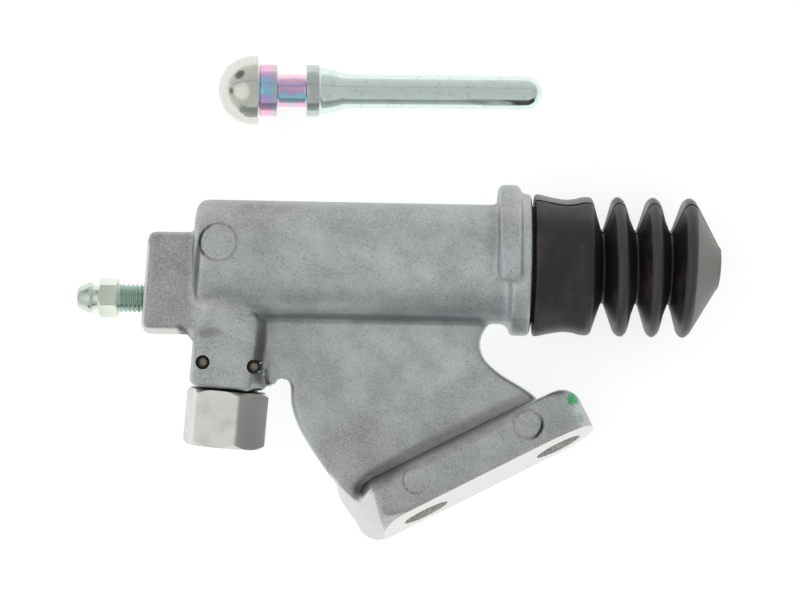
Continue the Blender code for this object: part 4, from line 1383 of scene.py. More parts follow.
@dataclass(frozen=True)
class Heel:
    """The mass under the web's lower left corner, whose wall slopes down to the bench."""

    rim: tuple[Pair, ...] = (
        (-43.6, -51.0), (-42.1, -52.7), (-40.3, -54.3), (-39.0, -55.2), (-37.6, -55.9),
        (-35.0, -57.0),
    )
    foot: tuple[Pair, ...] = (
        (-43.9, -52.8), (-43.5, -55.2), (-42.3, -57.4), (-40.9, -59.4), (-39.2, -61.0),
        (-35.5, -60.0),
    )
    inside: tuple[Pair, ...] = ((-35.0, -55.5), (-38.3, -53.3), (-41.0, -51.0), (-42.8, -49.4))
    under: tuple[Pair, ...] = ((-33.0, -56.0), (-34.0, -50.0), (-38.0, -48.0), (-42.5, -48.6))
    bench: float = -16.5
    levels: tuple[float, ...] = (-12.0, -6.0, -1.0, 0.0, 0.6, 1.6)
    top: float = 2.6

    def surface(self) -> Surface:
        """Rings at rising heights. The wall goes straight from foot to rim, with its edge rounded.

        Returns:
            The closed surface.
        """
        rim, foot = curve(self.rim, 6), curve(self.foot, 6)
        inside, under = curve(self.inside, 6), curve(self.under, 6)
        middle = rim.mean(0)
        rings = []
        for z in (self.bench, self.bench + 0.5, *self.levels, self.top - 0.3, self.top):
            share = (z - self.bench) / (self.top - self.bench)
            wall = foot + (rim - foot) * share
            drawn = 0.5 * (z == self.bench) + 0.45 * (z == self.top)
            wall = wall + (middle - wall) * drawn / np.linalg.norm(middle - wall, axis=1)[:, None]
            ring = np.vstack([wall, inside if z > 0.2 else under])
            rings.append(np.column_stack([ring, np.full(len(ring), z)]))
        return lofted(np.array(rings))


@dataclass(frozen=True)
class Mark:
    """A circle that an ejector pin left on the casting, with painted shadow that makes its line darkest on
    one side.
    """

    centre: Triple
    radius: float
    dark_side: float = 0.0
    reach: float = 0.1
    width: float = 0.5
    strength: float = 0.9
    faint: float = 0.3


@dataclass(frozen=True)
class Casting:
    """The cylinder's one light-alloy casting with its machined faces."""

    barrel: Barrel = Barrel()
    rib: LocatingRib = LocatingRib()
    block: BleedBlock = BleedBlock()
    saddle: Saddle = Saddle()
    boss: PortBoss = PortBoss()
    flange: Flange = Flange()
    web: Web = Web()
    heel: Heel = Heel()
    voxel: float = 0.52
    crisp_angle: float = 32.0
    smoothing: int = 8
    marks: tuple[Mark, ...] = (
        Mark((-25.3, -49.5, 9.0), 3.07, 215.0, -0.1, 0.45, 0.4, 0.15),
        Mark((-0.14, -36.4, 9.0), 3.19, -15.0, 0.35, 0.75, 0.85, 0.3),
        Mark((-71.2, 3.7, 13.2), 4.18, 175.0, 0.2, 0.6, 0.7, 0.35),
    )
    # Steep walls painted bright as a highlight: a way, the place past which it starts, a middle and a reach
    painted_highlight: tuple[tuple[Triple, Triple, Triple, float], ...] = (
        ((-0.962, -0.272, 0.0), (-35.3, -51.3, 0.0), (-37.0, -58.0, 0.0), 13.0),
        ((-1.0, 0.0, 0.0), (-76.5, 0.0, 0.0), (-86.0, -8.0, 0.0), 12.0),
    )
    # Dabs of paint: a place, how far each reaches, and how thick it is
    paint: tuple[tuple[Triple, float, float], ...] = (
        ((10.4, -30.4, 6.0), 4.7, 0.95),
        ((12.3, -34.6, 6.0), 3.9, 0.4),
    )
    # Painted shade above zero and painted highlights below it: a place, half its length and width, its turn,
    # how much
    shadows: tuple[tuple[Triple, float, float, float, float], ...] = (
        ((-17.0, -40.0, 0.0), 28.0, 3.4, 27.6, 0.4),
        ((-33.5, -49.0, 0.0), 8.0, 3.0, 33.0, 0.5),
        ((-37.6, -52.2, 0.0), 3.4, 2.2, 40.0, 0.85),
        ((-73.2, -16.9, 0.0), 3.8, 1.5, 6.0, 0.35),
        ((-78.9, -17.6, 0.0), 1.3, 3.4, 32.0, 0.98),
        ((-77.3, -17.0, 0.0), 0.9, 1.6, 20.0, -0.45),
        ((-73.2, -10.6, 0.0), 6.0, 2.0, -14.0, -0.3),
        ((-61.7, -21.0, 0.0), 8.6, 1.6, 85.0, 0.7),
        ((-33.3, -12.7, 0.0), 38.0, 1.0, 0.0, 0.5),
        ((-36.6, -53.6, 0.0), 2.8, 0.55, 58.0, -0.9),
        ((-75.9, -1.5, 0.0), 9.0, 0.9, 86.5, 0.8),
    )
    # Where the skin is darker: a way, a place, how soon it darkens along the way, and how much
    tones: tuple[tuple[Triple, Triple, float, float], ...] = (
        ((-1.0, 0.0, 0.0), (-75.0, 0.0, 0.0), 4.0, 0.42),
        ((0.0, 1.0, 0.0), (0.0, 4.0, 0.0), 7.0, 0.42),
        ((0.41, -0.912, 0.0), (-33.75, -32.5, 0.0), 3.0, 0.22),
        ((-0.886, -0.463, 0.0), (-22.0, -45.0, 0.0), 14.0, 0.2),
    )

    def build(self, datum: Datum) -> Object:
        """Makes the casting: one skin over all its forms, then the machining.

        Args:
            datum: Where the mouth is.

        Returns:
            The object, without its finish.
        """
        forms = (self.barrel, self.rib, self.block, self.saddle, self.boss, self.flange, self.heel)
        surfaces = [form.surface() for form in forms] + [self.web.surface(self.barrel, self.flange)]
        obj = mesh_object("casting_skin", joined(*surfaces), datum)
        skin = obj.modifiers.new("Skin", "REMESH")
        skin.mode = "VOXEL"
        skin.voxel_size = self.voxel * MM
        skin.use_smooth_shade = True
        soften = obj.modifiers.new("Soften", "SMOOTH")
        soften.iterations = self.smoothing
        soften.factor = 0.5
        applied(obj)
        cutters = [self.barrel.bore(), self.boss.socket(), self.block.bleed_hole(), self.flange.waste()]
        cutters += [self.flange.bolt(sign) for sign in (-1, 1)]
        cutters += [self.boss.pin_hole(sign) for sign in (-1, 1)]
        for cutter in cutters:
            cut(obj, cutter, datum)
        obj.data.shade_smooth()
        obj.data.set_sharp_from_angle(angle=math.radians(self.crisp_angle))
        return obj

    def regions(self, obj: Object, datum: Datum) -> np.ndarray:
        """Tells which faces are cast, milled or bored.

        Args:
            obj: The casting's object.
            datum: Where the mouth is.

        Returns:
            A member of Made for each face.
        """
        count = len(obj.data.polygons)
        centres, normals = np.empty(count * 3), np.empty(count * 3)
        obj.data.polygons.foreach_get("center", centres)
        obj.data.polygons.foreach_get("normal", normals)
        places = (centres.reshape(-1, 3) - np.array(datum.mouth)) / MM
        normals = normals.reshape(-1, 3)
        kinds = np.full(count, Made.CAST, np.int32)
        flange, boss, along = self.flange, self.boss, (1.0, 0.0, 0.0)
        height = (places - flange.centre()) @ flange.normal()
        kinds[(np.abs(height) < 0.02) & (normals @ flange.normal() > 0.98)] = Made.MILLED
        walls = []
        for sign in (-1, 1):
            walls.append((flange.hole(sign), flange.normal(), flange.hole_radius, Made.BORED))
            walls.append((boss.pin_centre(sign), UP, boss.pin_radius, Made.BORED))
        for radius in (self.barrel.bore_radius, self.barrel.bore_radius + self.barrel.stop_groove[2]):
            walls.append(((0.0, 0.0, 0.0), along, radius, Made.MILLED))
        walls.append(((boss.x, boss.y, 0.0), boss.axis(), boss.socket_radius, Made.MILLED))
        walls.append(((0.0, self.block.gallery_y, 0.0), along, self.block.thread_radius, Made.BORED))
        for base, axis, radius, kind in walls:
            kinds[self.on_wall(places, normals, np.array(base), np.array(axis), radius)] = kind
        return kinds

    @staticmethod
    def on_wall(
        places: np.ndarray, normals: np.ndarray, base: np.ndarray, axis: np.ndarray, radius: float
    ) -> np.ndarray:
        """Marks places on a hole's wall, which faces the hole's axis.

        Args:
            places: The faces' middles, in millimetres from the mouth.
            normals: The faces' outward ways.
            base: A place on the hole's axis.
            axis: The way of the axis.
            radius: The hole's radius.

        Returns:
            True for each place on the wall.
        """
        offset = places - base
        radial = offset - np.outer(offset @ axis, axis)
        off_axis = np.linalg.norm(radial, axis=1)
        inward = np.einsum("ij,ij->i", radial, normals) < -0.9 * off_axis
        return (np.abs(off_axis - radius) < 0.06) & inward

    def dress(self, obj: Object, datum: Datum) -> None:
        """Gives cast skin, milled face and bored walls their own finish.

        Args:
            obj: The casting's object.
            datum: Where the mouth is.
        """
        obj.data.materials.clear()
        obj.data.materials.append(CastSkin().material(self, datum))
        obj.data.materials.append(MilledFace().material("milled_face", datum.spot(*self.flange.centre())))
        obj.data.materials.append(BoredWall().material())
        obj.data.polygons.foreach_set("material_index", self.regions(obj, datum))
        obj.data.update()


def ringed(rows: list[tuple[object, object]], steps: int, closed: bool = False) -> Surface:
    """A body round local X whose rings need not be round.

    Args:
        rows: Pairs (s, r), each a number or an array over the angle.
        steps: Points round the axis.
        closed: True where the last row meets the first.

    Returns:
        P(i, phi) = (s_i(phi), r_i(phi) cos phi, r_i(phi) sin phi).
    """
    phi = np.linspace(0.0, 2 * np.pi, steps, endpoint=False)
    s = np.stack([np.broadcast_to(np.asarray(row[0], float), steps) for row in rows])
    r = np.stack([np.broadcast_to(np.asarray(row[1], float), steps) for row in rows])
    return lofted(np.stack([s, r * np.cos(phi), r * np.sin(phi)], -1), closed)


def thread_wave(along: float, pitch: float, steps: int) -> np.ndarray:
    """A thread's height round one row: a triangle wave |2 ((s / pitch - phi / 2 pi) mod 1) - 1|."""
    phi = np.linspace(0.0, 1.0, steps, endpoint=False)
    return np.abs(2.0 * ((along / pitch - phi) % 1.0) - 1.0)


@dataclass(frozen=True)
class Hexagon:
    """A hexagonal bar with its corners turned off."""

    flats: float
    start: float
    end: float
    chamfer: float
    both: bool
    turn: float
    soft: float = 0.12
    steps: int = 240

    def rows(self) -> list[tuple[object, object]]:
        """Rows of (s, r) from the start face to the end face.

        The flats stand at r = (flats / 2) / cos(a), with a the angle from the nearest flat's
        middle, and each chamfer's cone meets them at a place that depends on a.

        Returns:
            The rows.
        """
        phi = np.linspace(0.0, 2 * np.pi, self.steps, endpoint=False)
        sixth = np.pi / 3
        a = (phi - self.turn + sixth / 2) % sixth - sixth / 2
        face = self.flats / 2
        r = face / np.cos(sixth / 2 - np.abs(a))
        corner = face / np.cos(sixth / 2)
        r = np.minimum(r, corner - self.soft * 0.4)
        slope = self.chamfer / (corner + 0.3 - face)
        drawn = (r - face) * slope
        first = [(self.start, face), (self.start + drawn, r)] if self.both else [(self.start, r)]
        low = first[-1][0]
        high = self.end - drawn
        middle = [(low + (high - low) * share, r) for share in (0.02, 0.5, 0.98)]
        return first + middle + [(high, r), (self.end, face)]


@dataclass(frozen=True)
class DustBoot:
    """The rubber boot: a waisted collar, three sharp-backed folds and a cone."""

    start: float = 0.7
    lip: float = 16.4
    waist: float = 15.3
    shoulder: float = 16.0
    collar_end: float = 14.3
    valley: float = 8.6
    crest: float = 16.1
    crest_width: float = 2.6
    first: float = 20.4
    pitch: float = 7.75
    folds: int = 3
    end: float = 43.9
    tip: float = 4.7
    hole: float = 3.6
    fold_wall: float = 1.8
    wall: float = 1.2
    spigot: float = 13.5
    spigot_end: float = 11.8
    bead: Pair = (6.0, 8.4)
    leans: tuple[Pair, ...] = ((14.3, 0.0), (20.4, -2.2), (28.15, -0.5), (35.9, 1.9), (43.9, 3.2))
    parting_angle: float = 64.0
    flash: float = 0.16
    steps: int = 288

    def crests(self) -> list[Pair]:
        """Where each fold's crest is, and its lean in radians.

        Returns:
            A pair for each fold.
        """
        places, leans = zip(*self.leans, strict=True)
        crests = [self.first + fold * self.pitch for fold in range(self.folds)]
        return [(crest, math.radians(float(np.interp(crest, places, leans)))) for crest in crests]

    def parting(self) -> np.ndarray:
        """Square to the plane where the mould's halves met."""
        turn = math.radians(self.parting_angle)
        return np.array([0.0, math.cos(turn), -math.sin(turn)])

    def outside(self) -> np.ndarray:
        """The outer outline from the lip to the tip.

        Returns:
            Pairs (s, r).
        """
        start, end = self.start, self.collar_end
        collar = [(start, self.lip - 0.5), (start + 0.15, self.lip - 0.12), (start + 0.5, self.lip)]
        collar += [(start + 1.1, self.lip - 0.03), (4.6, 15.75), (7.5, self.waist), (9.8, 15.45)]
        collar += [(11.4, 15.85), (12.6, self.shoulder), (13.5, 15.85), (14.05, 15.3), (end, 14.5)]
        parts = [curve(collar, 6)]
        half, r = self.crest_width / 2, self.crest
        for fold in range(self.folds):
            crest = self.first + fold * self.pitch
            valley = crest - self.pitch / 2
            low = self.valley
            parts.append(curve([(valley - 0.55, 9.3), (valley - 0.25, low), (valley + 0.25, low)], 4))
            rise = [(valley + 0.55, 9.3), (valley + 1.35, 11.7), (crest - half - 0.45, r - 2.0)]
            rise += [(crest - half, r - 0.85), (crest - 0.55, r - 0.15), (crest, r), (crest + 0.55, r - 0.15)]
            parts.append(curve(rise, 6))
            if fold < self.folds - 1:
                fall = [(crest + half, r - 0.85), (crest + half + 0.45, r - 2.0), (crest + half + 1.1, 11.7)]
                parts.append(curve(fall, 6))
        last = self.first + (self.folds - 1) * self.pitch
        parts.append(curve([(last + half, r - 0.75), (last + half + 0.5, r - 1.5)], 4))
        end, tip = self.end, self.tip
        parts.append(curve([(end - 0.7, tip + 0.7), (end - 0.2, tip + 0.1), (end, tip - 0.4)], 4))
        return np.vstack(parts)

    def inside(self) -> np.ndarray:
        """The inner outline from the tip back to the lip.

        Returns:
            Pairs (s, r).
        """
        end, hole = self.end, self.hole
        path = [(end, hole + 0.2), (end - 0.2, hole), (end - 2 * self.wall, hole)]
        for fold in reversed(range(self.folds)):
            crest = self.first + fold * self.pitch
            valley = crest - self.pitch / 2
            path += [(crest + 0.3, self.crest - self.fold_wall), (crest - 0.3, self.crest - self.fold_wall)]
            path += [(valley + 0.6, self.valley - self.wall), (valley - 0.6, self.valley - self.wall)]
        low, high = self.bead
        path += [(self.spigot_end, self.spigot - 1.5), (self.spigot_end, self.spigot), (high, self.spigot)]
        path += [(high - 0.3, self.spigot - 1.0), (low + 0.3, self.spigot - 1.0), (low, self.spigot)]
        return np.array(path + [(self.start, self.spigot)])

    def build(self, datum: Datum) -> Object:
        """Turns the boot, leaves a line of flash on it and leans each fold.

        The flash stands f exp(-(d / 0.3)²) proud at a distance d from the parting plane. A fold leans
        as x' = x + tan(lean(x)) y, kept short of the tip.

        Args:
            datum: Where the mouth is.

        Returns:
            The object, without its finish.
        """
        outside = self.outside()
        surface = turned(np.vstack([outside, self.inside()]), self.steps, closed=True)
        skin = surface.points[: len(outside) * self.steps]
        off = skin @ self.parting()
        radius = np.linalg.norm(skin[:, 1:], axis=1)
        proud = self.flash * np.exp(-((off / 0.3) ** 2)) * (radius < self.crest - 0.3)
        skin[:, 1:] *= (1.0 + proud / radius)[:, None]
        x, y = surface.points[:, 0], surface.points[:, 1]
        places, leans = zip(*self.leans, strict=True)
        lean = np.tan(np.radians(np.interp(x, places, leans)))
        near = np.interp(x, (self.end - 6.0, self.end), (0.0, 1.0))
        surface.points[:, 0] = x + lean * y - near * np.abs(lean) * self.tip
        return mesh_object("boot_bellows", surface, datum, 30.0)

    def dress(self, obj: Object, datum: Datum) -> None:
        """Gives the boot its rubber."""
        obj.data.materials.append(MouldedRubber().material(self, datum))


@dataclass(frozen=True)
class PushRod:
    """The turned rod with its ball head, two collars and the neck for the boot's tip."""

    head: float = 8.05
    head_length: float = 9.3
    gap_radius: float = 5.45
    collar: float = 6.05
    second: Pair = (9.6, 13.7)
    neck: float = 3.85
    third: Pair = (20.5, 23.6)
    taper: tuple[Pair, ...] = ((27.2, 4.95), (30.2, 4.14))
    cone_end: float = 31.2
    shaft: float = 4.02
    length: float = 76.1
    ball: Triple = (-65.2, 39.8, -8.45)
    turn: float = 0.8
    steps: int = 128

    def way(self) -> np.ndarray:
        """Along the rod. It lies on its head and its tip, so it dips.

        Returns:
            A way of length 1.
        """
        dip = math.asin((self.head - self.shaft) / (self.length - self.head - self.shaft))
        return heading(self.turn) * math.cos(dip) - np.array([0.0, 0.0, math.sin(dip)])

    def start(self) -> np.ndarray:
        """The head's outermost point."""
        return np.array(self.ball) - self.way() * self.head

    def build(self, datum: Datum) -> Object:
        """Turns the rod about its axis.

        Args:
            datum: Where the mouth is.

        Returns:
            The object, without its finish.
        """
        start, end = self.second
        third, cone = self.third
        edge = 0.3
        parts = [
            arc((self.head, 0.0), self.head, 179, 90, 22),
            arc((self.head_length - edge, self.head - edge), edge, 90, 0, 4),
            [(self.head_length, self.gap_radius), (start, self.gap_radius)],
            arc((start + edge, self.collar - edge), edge, 180, 90, 4),
            arc((end - edge, self.collar - edge), edge, 90, 0, 4),
            arc((end + 0.6, self.neck + 0.6), 0.6, 180, 270, 5),
            arc((third - 0.5, self.neck + 0.5), 0.5, 270, 360, 5),
            arc((third + edge, self.collar - edge), edge, 180, 90, 4),
            arc((cone - 0.4, self.collar - 0.4), 0.4, 90, 30, 4),
            curve([(cone + 0.2, self.collar - 0.45), *self.taper, (self.cone_end + 1.4, self.shaft)], 8),
            arc((self.length - self.shaft, 0.0), self.shaft, 90, 1, 14),
        ]
        surface = turned(np.vstack(parts), self.steps)
        way = self.way()
        side = np.cross([0.0, 0.0, 1.0], way)
        side /= np.linalg.norm(side)
        axes = np.array([way, side, np.cross(way, side)])
        return mesh_object("rod", surface.moved(self.start(), axes), datum, 35.0)

    def dress(self, obj: Object, datum: Datum) -> None:
        """Gives the rod its tinted plating."""
        obj.data.materials.append(RodPlate().material(self, datum))


@dataclass(frozen=True)
class RodPlate:
    """Zinc whose passivation shows pink, violet and cyan on the collar and the neck."""

    head: Triple = (0.76, 0.78, 0.72)
    shaft: Triple = (0.80, 0.93, 0.90)
    pink: Triple = (0.94, 0.58, 0.76)
    violet: Triple = (0.60, 0.52, 0.92)
    cyan: Triple = (0.36, 0.82, 0.94)
    blush: Triple = (0.96, 0.78, 0.82)
    grey: Triple = (0.60, 0.66, 0.64)
    dull: Triple = (0.40, 0.42, 0.40)
    pit: Triple = (0.22, 0.22, 0.21)

    def material(self, rod: PushRod, datum: Datum) -> Material:
        """Builds the material along the rod's axis.

        Args:
            rod: The rod.
            datum: Where the mouth is.

        Returns:
            The material.
        """
        n = Nodes("rod_plate")
        way = tuple(rod.way())
        along = n.axis(way, datum.spot(*rod.start()))
        across = n.axis((0.0, 1.0, 0.0), datum.spot(*rod.ball))
        drift = n.times(n.math("SUBTRACT", n.noise(0.45, 3.0, 0.6), 0.5), 0.5)
        pink, violet, cyan = self.pink, self.violet, self.cyan
        shares = [n.math("MULTIPLY_ADD", across, 0.5 / radius, 0.5) for radius in (rod.collar, rod.neck)]
        round_collar, round_neck = (n.math("ADD", share, drift) for share in shares)
        bands = [(0.06, pink), (0.3, violet), (0.5, cyan), (0.68, violet), (0.9, pink)]
        collar = n.colours(round_collar, bands)
        streaks = [(0.05, pink), (0.28, cyan), (0.42, violet), (0.52, pink), (0.64, violet), (0.82, pink)]
        neck = n.colours(round_neck, [*streaks, (0.97, self.blush)])
        colour = n.mix(n.ramp(along, 9.2, 9.6), self.head, collar)
        colour = n.over(colour, self.grey, n.ramp(along, 12.0, 13.4), 0.65)
        colour = n.mix(n.ramp(along, 13.6, 14.2), colour, neck)
        colour = n.mix(n.ramp(along, 20.2, 20.6), colour, self.grey)
        colour = n.mix(n.ramp(along, 23.3, 23.8), colour, self.shaft)
        stain = n.noise(0.4, 4.0, 0.65)
        colour = n.over(colour, self.dull, n.ramp(stain, 0.5, 0.7), 0.25)
        colour = n.over(colour, self.pit, n.ramp(n.noise(1.8, 3.0, 0.6), 0.36, 0.3), 0.3)
        rough = n.math("MULTIPLY_ADD", stain, 0.12, 0.07)
        tool = n.math("SINE", n.times(along, 26.0))
        height = n.math("MULTIPLY_ADD", tool, 0.1, n.noise(1.2, 3.0, 0.6))
        return n.finish(colour, rough, 1.0, n.bump(height, 0.2, 0.03))


@dataclass(frozen=True)
class BleedScrew:
    """The bleed screw: thread, hexagon, neck and hose nipple, drilled nearly through."""

    face: float = -89.1
    y: float = -9.4
    thread: float = 3.3
    pitch: float = 1.0
    depth: float = 0.42
    inside: float = 8.2
    nose: float = 2.6
    nose_radius: float = 2.3
    seat: float = 1.2
    seat_radius: float = 1.2
    hexagon: Hexagon = Hexagon(8.0, 5.7, 10.1, 0.9, True, math.radians(10.0), 0.1, 180)
    neck: Pair = (11.7, 2.8)
    barb: Pair = (3.4, 3.55)
    tip: float = 2.3
    bore: float = 1.1
    drill_end: float = -9.7

    def rows(self) -> list[tuple[object, object]]:
        """From the seat through the helical thread and the hexagon to the drilled bore.

        The thread's radius is R - d w, with w a rounded triangle wave of s / pitch - phi / 2 pi.

        Returns:
            Rows (s, r), each a number or an array over the angle.
        """
        steps = self.hexagon.steps
        nose = -self.inside - self.nose
        end = nose - self.seat
        wide = self.nose_radius
        rows = [(end, 0.4), (end, self.seat_radius), (nose, wide), (-self.inside - 0.3, wide)]
        for s in np.arange(-self.inside, self.hexagon.start - 0.35, self.pitch / 11):
            wave = thread_wave(s, self.pitch, steps)
            fade = min((s + self.inside) / 0.8, (self.hexagon.start - 0.35 - s) / 0.5, 1.0)
            rows.append((s, self.thread - self.depth * (np.clip(wave, 0.12, 0.88) - 0.12) / 0.76 * fade))
        rows += [(self.hexagon.start - 0.3, self.thread - 0.3), (self.hexagon.start, self.thread - 0.3)]
        rows += self.hexagon.rows()
        neck_end, neck = self.neck
        length, barb = self.barb
        tip_end = neck_end + length
        hexagon_end = self.hexagon.end
        rows += [(hexagon_end, neck + 0.5), (hexagon_end + 0.15, neck + 0.15), (hexagon_end + 0.5, neck)]
        rows += [(neck_end, neck), (neck_end, barb - 0.15), (neck_end + 0.15, barb), (neck_end + 0.7, barb)]
        rows += [(neck_end + 1.0, barb - 0.1), (tip_end - 0.5, self.tip + 0.2), (tip_end - 0.15, self.tip)]
        rows += [(tip_end, self.tip - 0.2), (tip_end, self.bore + 0.2), (tip_end - 0.2, self.bore)]
        return rows + [(self.drill_end + 0.6, self.bore), (self.drill_end, 0.2)]

    def build(self, datum: Datum) -> Object:
        """Lays the screw along the block's outward way.

        Args:
            datum: Where the mouth is.

        Returns:
            The object, without its finish.
        """
        surface = ringed(self.rows(), self.hexagon.steps)
        surface = surface.moved((self.face, self.y, 0.0), np.diag([-1.0, 1.0, -1.0]))
        return mesh_object("bleeder_screw", surface, datum, 28.0)

    def dress(self, obj: Object, datum: Datum) -> None:
        """Gives the screw its greenish plating.

        Args:
            obj: The screw's object.
            datum: Where the mouth is.
        """
        start = datum.spot(self.face, self.y, 0.0)
        bands = (
            (0.0, (0.47, 0.63, 0.56)),
            (0.35, (0.52, 0.66, 0.58)),
            (0.41, (0.88, 0.93, 0.80)),
            (0.72, (0.74, 0.82, 0.74)),
            (1.0, (0.66, 0.74, 0.68)),
        )
        way = (-1.0, 0.0, 0.0)
        plate = ZincPlate("bleeder_plate", bands=bands, start=start, way=way, length=15.1, blotch=0.1)
        obj.data.materials.append(plate.material())


@dataclass(frozen=True)
class PipeUnion:
    """The pipe's union: a hexagon with an inner thread on a stem with two grooves."""

    boss: PortBoss
    hexagon: Hexagon = Hexagon(17.0, 6.05, 19.2, 1.3, True, math.radians(11.8), 0.15, 240)
    stem: float = 6.85
    stem_end: float = -9.2
    pin_groove: Pair = (1.8, 4.0)
    seal_groove: Triple = (-8.55, -6.05, 4.8)
    thread: float = 5.0
    thread_end: float = 8.2
    pitch: float = 1.0
    depth: float = 0.45
    bore: float = 2.0

    def rows(self) -> list[tuple[object, object]]:
        """Once round the wall's section: the stem, the hexagon, then the thread and the bore.

        Returns:
            Rows (s, r), each a number or an array over the angle.
        """
        half, groove = self.pin_groove
        low, high, floor = self.seal_groove
        stem, end = self.stem, self.stem_end
        rows = [(end, self.bore + 0.2), (end, stem - 0.3), (end + 0.3, stem)]
        rows += [(low, stem), (low, floor), (high, floor), (high, stem)]
        rows += [(-half, stem), (-half, groove), (half, groove), (half, stem)]
        rows += [(self.hexagon.start, stem)] + self.hexagon.rows()
        out = self.hexagon.end
        rows += [(out, self.thread + 0.5), (out - 0.5, self.thread)]
        for s in np.arange(out - 0.6, self.thread_end + 3.2, -self.pitch / 9):
            wave = thread_wave(s, self.pitch, self.hexagon.steps)
            fade = min((out - 0.6 - s) / 0.5, (s - self.thread_end - 3.1) / 0.5, 1.0)
            rows.append((s, self.thread - self.depth * wave * max(fade, 0.0)))
        rows += [(self.thread_end + 2.4, self.thread), (self.thread_end, self.bore), (end + 0.2, self.bore)]
        return rows

    def build(self, datum: Datum) -> Object:
        """Lays the union along the port's axis."""
        surface = self.boss.along(ringed(self.rows(), self.hexagon.steps, closed=True))
        return mesh_object("union_body", surface, datum, 28.0)

    def dress(self, obj: Object, datum: Datum) -> None:
        """Gives the union its turned and milled finish, painted black as shade in the gap towards the boss.

        Args:
            obj: The union's object.
            datum: Where the mouth is.
        """
        steel = TurnedSteel("union_steel", (0.73, 0.74, 0.70), 0.3, way=tuple(self.boss.axis()))
        port = datum.spot(self.boss.x, self.boss.y, 0.0)
        obj.data.materials.append(steel.material(shadow=(port, self.hexagon.start + 0.12)))


@dataclass(frozen=True)
class RollPin:
    """A hollow pin, slit along its length."""

    name: str
    centre: np.ndarray
    radius: float = 1.5
    bore: float = 0.9
    half: float = 8.7
    slit: float = 0.5
    slit_turn: float = 36.0
    chamfer: float = 0.3
    sunk: float = 1.1
    steps: int = 40

    def build(self, datum: Datum) -> Object:
        """The wall's section (z, r) swept round the pin from one side of the slit to the other.

        Args:
            datum: Where the mouth is.

        Returns:
            The object, without its finish.
        """
        c = self.chamfer
        section = [(-self.half, self.bore), (-self.half, self.radius - c), (-self.half + c, self.radius)]
        section += [(0.0, self.radius), (self.half - c, self.radius), (self.half, self.radius - c)]
        section = np.array(section + [(self.half, self.bore), (0.0, self.bore)])
        open_angle = self.slit / self.radius / 2
        turn = math.radians(self.slit_turn)
        phi = np.linspace(turn + open_angle, turn + 2 * np.pi - open_angle, self.steps)
        z = np.repeat(section[None, :, 0], self.steps, 0)
        r = section[None, :, 1]
        rings = np.stack([r * np.cos(phi)[:, None], r * np.sin(phi)[:, None], z], -1)
        floor, r = self.half - self.sunk, self.bore + 0.02
        core = turned([(-floor, 0.1), (-floor, r), (floor, r), (floor, 0.1)], self.steps)
        core = core.moved((0, 0, 0), UPRIGHT)
        surface = joined(lofted(rings), core).moved(self.centre, np.eye(3))
        return mesh_object(self.name, surface, datum, 30.0)

    def dress(self, obj: Object, datum: Datum) -> None:
        """Blackens the wall and leaves the bore's floor brassy.

        Args:
            obj: The pin's object.
            datum: Where the mouth is.
        """
        n = Nodes(self.name)
        off = n.distance(datum.spot(*self.centre))
        floor = n.ramp(off, self.bore + 0.02, self.bore - 0.1)
        stain = n.noise(1.2, 4.0, 0.6)
        brass = n.mix(stain, (0.26, 0.23, 0.16), (0.40, 0.36, 0.28))
        colour = n.mix(floor, n.mix(stain, (0.02, 0.018, 0.016), (0.06, 0.055, 0.05)), brass)
        rough = n.math("MULTIPLY_ADD", stain, 0.2, 0.3)
        obj.data.materials.append(n.finish(colour, rough, 0.8, n.bump(stain, 0.3, 0.05)))


@dataclass(frozen=True)
class PistonSpring:
    """The light conical coil between the bore's end and the piston's spring seat."""

    start: float = -71.9
    end: float = -20.99
    anchor: float = -72.2
    wire: float = 0.6
    big: float = 8.0
    small: float = 5.4
    turns: float = 9.0
    end_pitch: float = 1.44
    keep: float = 0.51
    around: int = 12
    steps: int = 48

    def build(self, datum: Datum) -> Object:
        """A round wire along the coil c(t) = (x(t), R(t) cos a, R(t) sin a), with close end turns.

        Args:
            datum: Where the mouth is.

        Returns:
            The object, without its finish.
        """
        t = np.linspace(0.0, 1.0, int(self.turns * self.steps) + 1)
        shut = 1.0 / self.turns
        middle = held((t - shut) / (1.0 - 2 * shut))
        ends = np.minimum(t, shut) + np.maximum(t - 1.0 + shut, 0.0)
        x = self.start + ends / shut * self.end_pitch + middle * (self.end - self.start - 2 * self.end_pitch)
        radius = self.big + (self.small - self.big) * t
        angle = 2 * np.pi * self.turns * t
        a = np.linspace(0.0, 2 * np.pi, self.around, endpoint=False)
        r = radius[:, None] + self.wire * np.cos(a)[None, :]
        along = x[:, None] + self.wire * np.sin(a)[None, :]
        rings = np.stack([along, r * np.cos(angle)[:, None], r * np.sin(angle)[:, None]], -1)
        return mesh_object("coil", lofted(rings), datum, 60.0)

    def dress(self, obj: Object, datum: Datum) -> None:
        """Gives the coil its dark drawn wire."""
        obj.data.materials.append(TurnedSteel("spring_wire", (0.16, 0.16, 0.17), 0.32, pitch=0.4).material())


